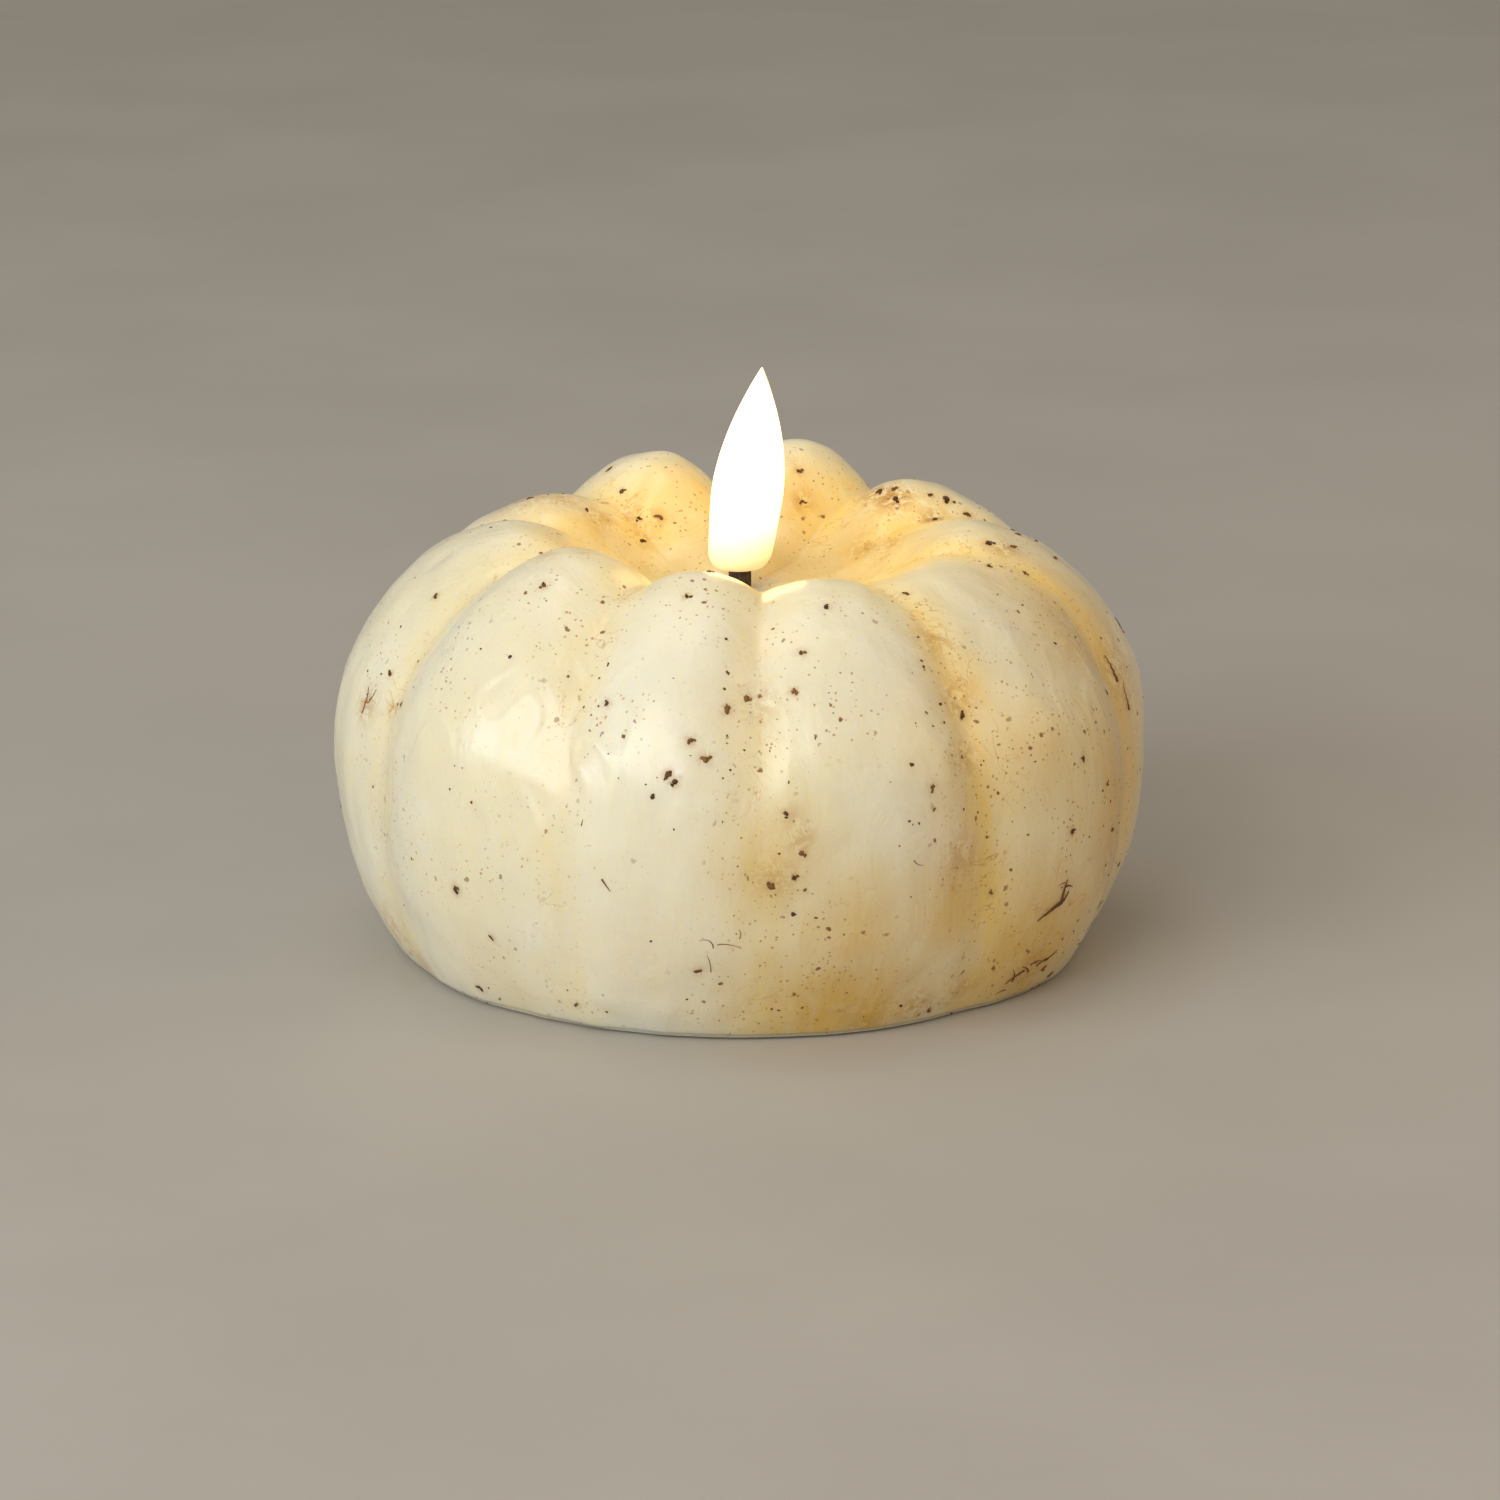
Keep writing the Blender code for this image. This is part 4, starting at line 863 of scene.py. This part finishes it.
def dress_cad_nodes(ivory, metal):
    black = moulded_plastic("black_plastic", (0.025, 0.025, 0.027), 0.5)
    can = plated_metal("drawn_can", (0.60, 0.62, 0.66), 0.35)
    resistor = moulded_plastic("resistor_body", (0.05, 0.045, 0.04), 0.4)
    red = moulded_plastic("red_wire", (0.55, 0.03, 0.02), 0.4, 900.0)
    black_wire = moulded_plastic("black_wire", (0.02, 0.02, 0.02), 0.4, 900.0)
    materials = {
        "base_plate": ivory, "battery_box": ivory, "battery_door": ivory,
        "contact_plus": metal, "contact_minus": metal, "contact_bridge": metal,
        "switch_body": metal, "crystal": can, "capacitor": can,
        "switch_knob": black, "timer_chip": black, "resistor_1": resistor, "resistor_2": resistor,
        "wick_stem": stem_material(), "control_board": board_material(),
        "led_wire_red": red, "battery_wire_red": red,
        "led_wire_black": black_wire, "battery_wire_black": black_wire,
        "flame_led": led_material(), "board_screw_1": metal, "board_screw_2": metal,
    }
    for node, material in materials.items():
        repaint(node, material)


def stem_material():
    stem = new_material("stem_black", (0.03, 0.02, 0.015), 0.7)
    twist = clouds(stem, object_place(stem, (1, 1, 0.4)), 2200.0, 3.0, 0.7)
    tone = remap(stem, twist, 0.4, 0.7)
    connect(stem, blend(stem, tone, (0.018, 0.012, 0.01), (0.09, 0.05, 0.03)), "Base Color")
    connect(stem, bump(stem, twist, 0.6, 0.0002), "Normal")
    return stem


def led_material():
    led = moulded_plastic("led_resin", (0.95, 0.82, 0.50), 0.2)
    shader_of(led).inputs["Emission Color"].default_value = (1.0, 0.75, 0.40, 1.0)
    shader_of(led).inputs["Emission Strength"].default_value = 2.0
    return led


def board_material():
    board = new_material("green_board", (0.02, 0.16, 0.07), 0.35)
    inputs = {"Vector": object_place(board), "Scale": 320.0, "Mortar Size": 0.06,
              "Color1": (0.02, 0.17, 0.07, 1), "Color2": (0.03, 0.20, 0.09, 1),
              "Mortar": (0.06, 0.30, 0.13, 1)}
    tracks = add_node(board, "TexBrick", inputs)
    connect(board, tracks.outputs["Color"], "Base Color")
    connect(board, bump(board, tracks.outputs["Fac"], 0.2, 0.0001), "Normal")
    return board


def add_circle(work, radius, height, sides, centre=(0.0, 0.0)):
    x, y = centre
    turns = [math.tau * i / sides for i in range(sides)]
    return [work.verts.new(((x + radius * math.cos(turn)) * MM, (y + radius * math.sin(turn)) * MM,
                            height * MM)) for turn in turns]


def join_circles(work, circles):
    for first, second in zip(circles, circles[1:]):
        for i in range(len(first)):
            j = (i + 1) % len(first)
            work.faces.new((first[i], first[j], second[j], second[i]))


def turned_bmesh(outline, sides):
    """An outline of (radius, height) in mm turned about Z, closed by flat ends."""
    work = bmesh.new()
    circles = [add_circle(work, radius, height, sides) for radius, height in outline]
    join_circles(work, circles)
    work.faces.new(circles[0])
    work.faces.new(circles[-1])
    return work


def make_cell(number, side):
    """An AA cell: sleeve with rolled ends, bare end discs and a nub; side +1 points the nub to +X."""
    work = turned_bmesh(CELL_OUTLINE, 64)
    turn = Matrix.Rotation(side * math.pi / 2, 4, "Y")
    start = Vector((side * (CELL_END - CELL_LENGTH), -side * CELL_Y, CELL_Z)) * MM
    work.transform(Matrix.Translation(start) @ turn)
    cell = bmesh_piece(f"cell_{number}", work)
    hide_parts(f"battery_{number}")
    dress(cell, cell_material(f"cell_sleeve_{number}", side))


def cell_material(name, side):
    """A plain printed sleeve: dark body, pale band near the nub, bare metal ends."""
    cell = new_material(name, (0.5, 0.5, 0.5), 0.3)
    place = add_node(cell, "TexCoord").outputs["Object"]
    x_place = add_node(cell, "SeparateXYZ", {"Vector": place}).outputs["X"]
    along = times(cell, x_place, float(side))
    near_nub = maths(cell, "GREATER_THAN", along, BAND_STARTS)
    line = times(cell, maths(cell, "GREATER_THAN", along, LINE_STARTS),
                 maths(cell, "LESS_THAN", along, LINE_ENDS))
    bare = maths(cell, "MAXIMUM", maths(cell, "GREATER_THAN", along, BARE_NUB_STARTS),
                 maths(cell, "LESS_THAN", along, BARE_END_ENDS))
    ink = clouds(cell, place, 120.0, 2.0)
    sleeve = blend(cell, remap(cell, ink, 0.3, 0.7), (0.10, 0.16, 0.20), (0.13, 0.20, 0.25))
    sleeve = blend(cell, near_nub, sleeve, (0.62, 0.60, 0.52))
    sleeve = blend(cell, line, sleeve, (0.75, 0.72, 0.62))
    connect(cell, blend(cell, bare, sleeve, (0.72, 0.72, 0.72)), "Base Color")
    connect(cell, bare, "Metallic")
    connect(cell, remap(cell, ink, 0.3, 0.7, 0.24, 0.36), "Roughness")
    return cell


def make_spring(number, side, metal):
    """Conical contact spring with closed end turns, in its CAD spring's place."""
    curve = new_tube("spring", SPRING_WIRE, 4)
    spline = curve.splines.new("POLY")
    count = 160
    spline.points.add(count - 1)
    start = CELL_END - SPRING_WIRE
    end = CELL_LENGTH - CELL_END + 0.65
    for i in range(count):
        share = i / (count - 1)
        angle = math.tau * SPRING_TURNS * share
        radius = SPRING_RADIUS - SPRING_TAPER * share
        rise = clamp((share - 0.14) / 0.72)
        spline.points[i].co = ((side * (start + (end - start) * rise)) * MM,
                               (side * CELL_Y + radius * math.cos(angle)) * MM,
                               (CELL_Z + radius * math.sin(angle)) * MM, 1.0)
    spring = add_piece(f"contact_spring_{number}", curve)
    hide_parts(f"battery_spring_{number}")
    dress(spring, metal)


def add_box(work, x, y, half_x, half_y, low, high):
    """A box in mm: its middle and half sizes along X and Y, and its lowest and highest Z."""
    middle = Vector((x, y, (low + high) / 2))
    half = Vector((half_x, half_y, (high - low) / 2))
    for vertex in bmesh.ops.create_cube(work, size=2.0)["verts"]:
        vertex.co = (middle + vertex.co * half) * MM


def make_screw(number, place, metal):
    """A pan-head screw seen from below, with a cross recess in its head and a ridged shank."""
    thread = [(THREAD_RADII[i % 2], THREAD_STARTS + i * THREAD_STEP) for i in range(THREAD_POINTS)]
    outline = SCREW_HEAD + thread + SCREW_POINT
    head = bmesh_piece(f"cross_screw_{number}", turned_bmesh(outline, 40), 50)
    work = bmesh.new()
    add_box(work, 0, 0, *RECESS_BAR)
    bar = bmesh_piece("recess_bar", work)
    for quarter in (0, 1):
        tool = head.modifiers.new("recess", "BOOLEAN")
        tool.operation = "DIFFERENCE"
        tool.solver = "EXACT"
        tool.object = bar
        bar.rotation_euler.z = math.radians(90 * quarter + 23 * number)
        bpy.context.view_layer.update()
        evaluated = head.evaluated_get(bpy.context.evaluated_depsgraph_get())
        head.data = bpy.data.meshes.new_from_object(evaluated)
        head.modifiers.clear()
    bpy.data.objects.remove(bar, do_unlink=True)
    head.data.transform(Matrix.Translation(Vector((*place, 0)) * MM))
    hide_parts(f"base_screw_{number}")
    dress(head, metal)


def add_ring(work, centre, inner, outer, low, high, sides=32):
    """A flat ring between two radii and two heights, in mm."""
    outline = ((inner, high), (inner, low), (outer, low), (outer, high))
    circles = [add_circle(work, radius, height, sides, centre) for radius, height in outline]
    join_circles(work, circles + circles[:1])


def make_switch_marks(ivory):
    """Raised marks beside the switch: bar for on, ring for off, clock for the timer."""
    low, high = PLATE_LOW - 0.22, PLATE_LOW + MARK_ROOT
    y = SWITCH_Y - 3.6
    work = bmesh.new()
    add_box(work, -3.55, y, 0.2, 0.9, low, high)
    add_ring(work, (0, y), 0.55, 0.9, low, high)
    add_ring(work, (3.55, y), 0.75, 1.0, low, high)
    add_box(work, 3.55, y + 0.25, 0.1, 0.3, low, high)
    add_box(work, 3.74, y - 0.02, 0.24, 0.1, low, high)
    dress(bmesh_piece("switch_marks", work), ivory)


def make_door_grip(ivory):
    """Grip ribs on the latch tongue and an arrow towards it."""
    low, high = PLATE_LOW - 0.28, PLATE_LOW + MARK_ROOT
    work = bmesh.new()
    for i in range(5):
        add_box(work, DOOR_LATCH_X + 1.85 + i * 1.2, 0, 0.25, 3.2, low, high)
    tip, tail, half = DOOR_LATCH_X + 10.2, DOOR_LATCH_X + 13.4, 2.2
    corners = [(tip, 0), (tail, -half), (tail, half)]
    bottom = [work.verts.new((x * MM, y * MM, low * MM)) for x, y in corners]
    top = [work.verts.new((x * MM, y * MM, high * MM)) for x, y in corners]
    work.faces.new(bottom)
    work.faces.new(top)
    for i in range(3):
        work.faces.new((bottom[i], bottom[(i + 1) % 3], top[(i + 1) % 3], top[i]))
    bmesh.ops.bevel(work, geom=work.edges[:], offset=0.08 * MM, segments=2, affect="EDGES")
    dress(bmesh_piece("door_grip", work), ivory, "door")


def add_plus(work, x, y, low, high, long=1.1, thick=0.22):
    add_box(work, x, y, long, thick, low, high)
    add_box(work, x, y, thick, long, low, high)


def make_cell_marks():
    """Embossed plus and minus on the side of each cell that faces the door."""
    work = bmesh.new()
    low, high = CELL_Z - 7.32, CELL_Z - 7.1
    for side in (1, -1):
        y = -side * CELL_Y
        add_plus(work, side * 18.5, y, low, high)
        add_box(work, side * -17.5, y, 0.22, 1.1, low, high)
    ink = moulded_plastic("cell_ink", (0.70, 0.68, 0.60), 0.35)
    dress(bmesh_piece("cell_marks", work), ink)


def make_door_guide(ivory):
    """Raised outlines of the two cells on the inner face of the door, with their polarity."""
    low, high = DOOR_INNER_Z - MARK_ROOT, DOOR_INNER_Z + 0.3
    work = bmesh.new()
    for side in (1, -1):
        y = -side * CELL_Y
        for edge in (y - GUIDE_HALF_WIDTH, y + GUIDE_HALF_WIDTH):
            add_box(work, 0, edge, GUIDE_HALF_LENGTH, GUIDE_RIB, low, high)
        for end in (-GUIDE_HALF_LENGTH, GUIDE_HALF_LENGTH):
            add_box(work, end, y, GUIDE_RIB, GUIDE_HALF_WIDTH + GUIDE_RIB, low, high)
        add_box(work, side * 21, y, 0.8, 2.0, low, high)
        add_plus(work, side * 15, y, low, high, 2.0, 0.35)
        add_box(work, side * -15, y, 0.35, 2.0, low, high)
    dress(bmesh_piece("door_guide", work), ivory, "door")


def make_knob_ribs():
    """Three ribs across the end of the switch knob."""
    work = bmesh.new()
    for i in (-1, 0, 1):
        add_box(work, KNOB_X + i * 0.8, SWITCH_Y, 0.16, 0.8, 0.12, 0.45)
    bmesh.ops.bevel(work, geom=work.edges[:], offset=0.05 * MM, segments=2, affect="EDGES")
    ribs = moulded_plastic("knob_rib", (0.03, 0.03, 0.032), 0.5)
    dress(bmesh_piece("knob_ribs", work), ribs, "knob")


def make_base_details():
    ivory = moulded_plastic("ivory_plastic", (0.80, 0.76, 0.66))
    metal = plated_metal("nickel_plate", (0.72, 0.70, 0.66))
    zinc = plated_metal("zinc_plate", (0.52, 0.52, 0.54), 0.34)
    dress_cad_nodes(ivory, metal)
    for number, side in ((1, 1), (2, -1)):
        make_cell(number, side)
        make_spring(number, side, metal)
    for number, place in enumerate(SCREW_PLACES, 1):
        make_screw(number, place, zinc)
    make_switch_marks(ivory)
    make_door_grip(ivory)
    make_door_guide(ivory)
    make_cell_marks()
    make_knob_ribs()


# Stage, lights and camera

def make_floor():
    """A pale floor, open under the candle and see-through from below."""
    columns = 96
    turn = np.arange(columns) * math.tau / columns
    grid = np.stack([np.stack([r * np.cos(turn), r * np.sin(turn), 0 * turn], -1) for r in FLOOR_RINGS])
    floor = make_mesh("floor", grid.reshape(-1, 3), grid_faces(len(grid), columns), smooth=False)
    if floor.data.polygons[0].normal.z < 0:
        floor.data.flip_normals()
    material = new_material("floor", (0.45, 0.43, 0.41), 0.6)
    soft = clouds(material, object_place(material), 14.0, 4.0)
    soft = remap(material, soft, 0.3, 0.7)
    connect(material, blend(material, soft, (0.44, 0.42, 0.39), (0.47, 0.45, 0.42)), "Base Color")
    tree = material.node_tree
    mixed = tree.nodes.new("ShaderNodeMixShader")
    tree.links.new(add_node(material, "NewGeometry").outputs["Backfacing"], mixed.inputs[0])
    tree.links.new(shader_of(material).outputs[0], mixed.inputs[1])
    tree.links.new(add_node(material, "BsdfTransparent").outputs[0], mixed.inputs[2])
    tree.links.new(mixed.outputs[0], tree.nodes["Material Output"].inputs["Surface"])
    floor.data.materials.append(material)


def area_light(name, place, size, power, colour):
    lamp = bpy.data.lights.new(name, "AREA")
    lamp.shape = "RECTANGLE"
    lamp.size, lamp.size_y = size
    lamp.energy = power
    lamp.color = colour
    light = add_piece(name, lamp)
    light.location = place
    light.rotation_euler = (LIT_PLACE - Vector(place)).to_track_quat("-Z", "Y").to_euler()


def make_lights():
    area_light("soft_key", (-0.62, -0.95, 0.62), (0.95, 0.85), 9.8, (1.0, 0.985, 0.95))
    area_light("side_window", (-1.0, -0.45, 0.39), (0.28, 0.34), 1.8, (0.86, 0.94, 1.0))
    area_light("overhead", (-0.15, 0.10, 1.15), (0.6, 0.6), 1.6, (1.0, 0.95, 0.86))
    area_light("warm_right", (0.95, -0.35, 0.55), (0.7, 0.7), 2.3, (1.0, 0.70, 0.36))
    world = bpy.data.worlds.new("studio")
    world.use_nodes = True
    background = world.node_tree.nodes["Background"]
    background.inputs["Color"].default_value = (1.0, 0.92, 0.80, 1)
    background.inputs["Strength"].default_value = 0.34
    bpy.context.scene.world = world


def make_camera():
    lens = bpy.data.cameras.new("camera")
    lens.lens = LENS_MM
    lens.sensor_width = 36.0
    camera = add_piece("camera", lens)
    back = Vector((0, -math.cos(CAMERA_ELEVATION), math.sin(CAMERA_ELEVATION)))
    camera.location = CAMERA_TARGET + back * CAMERA_DISTANCE
    camera.rotation_euler = (-back).to_track_quat("-Z", "Y").to_euler()
    bpy.context.scene.camera = camera
    bpy.context.scene.view_settings.view_transform = "Standard"


make_camera()
make_lights()
make_floor()
wax_points, wax_normals, wax_places = make_wax()
make_flecks(wax_points, wax_normals, wax_places)
make_fibres(wax_points, wax_normals)
make_flame()
make_base_details()
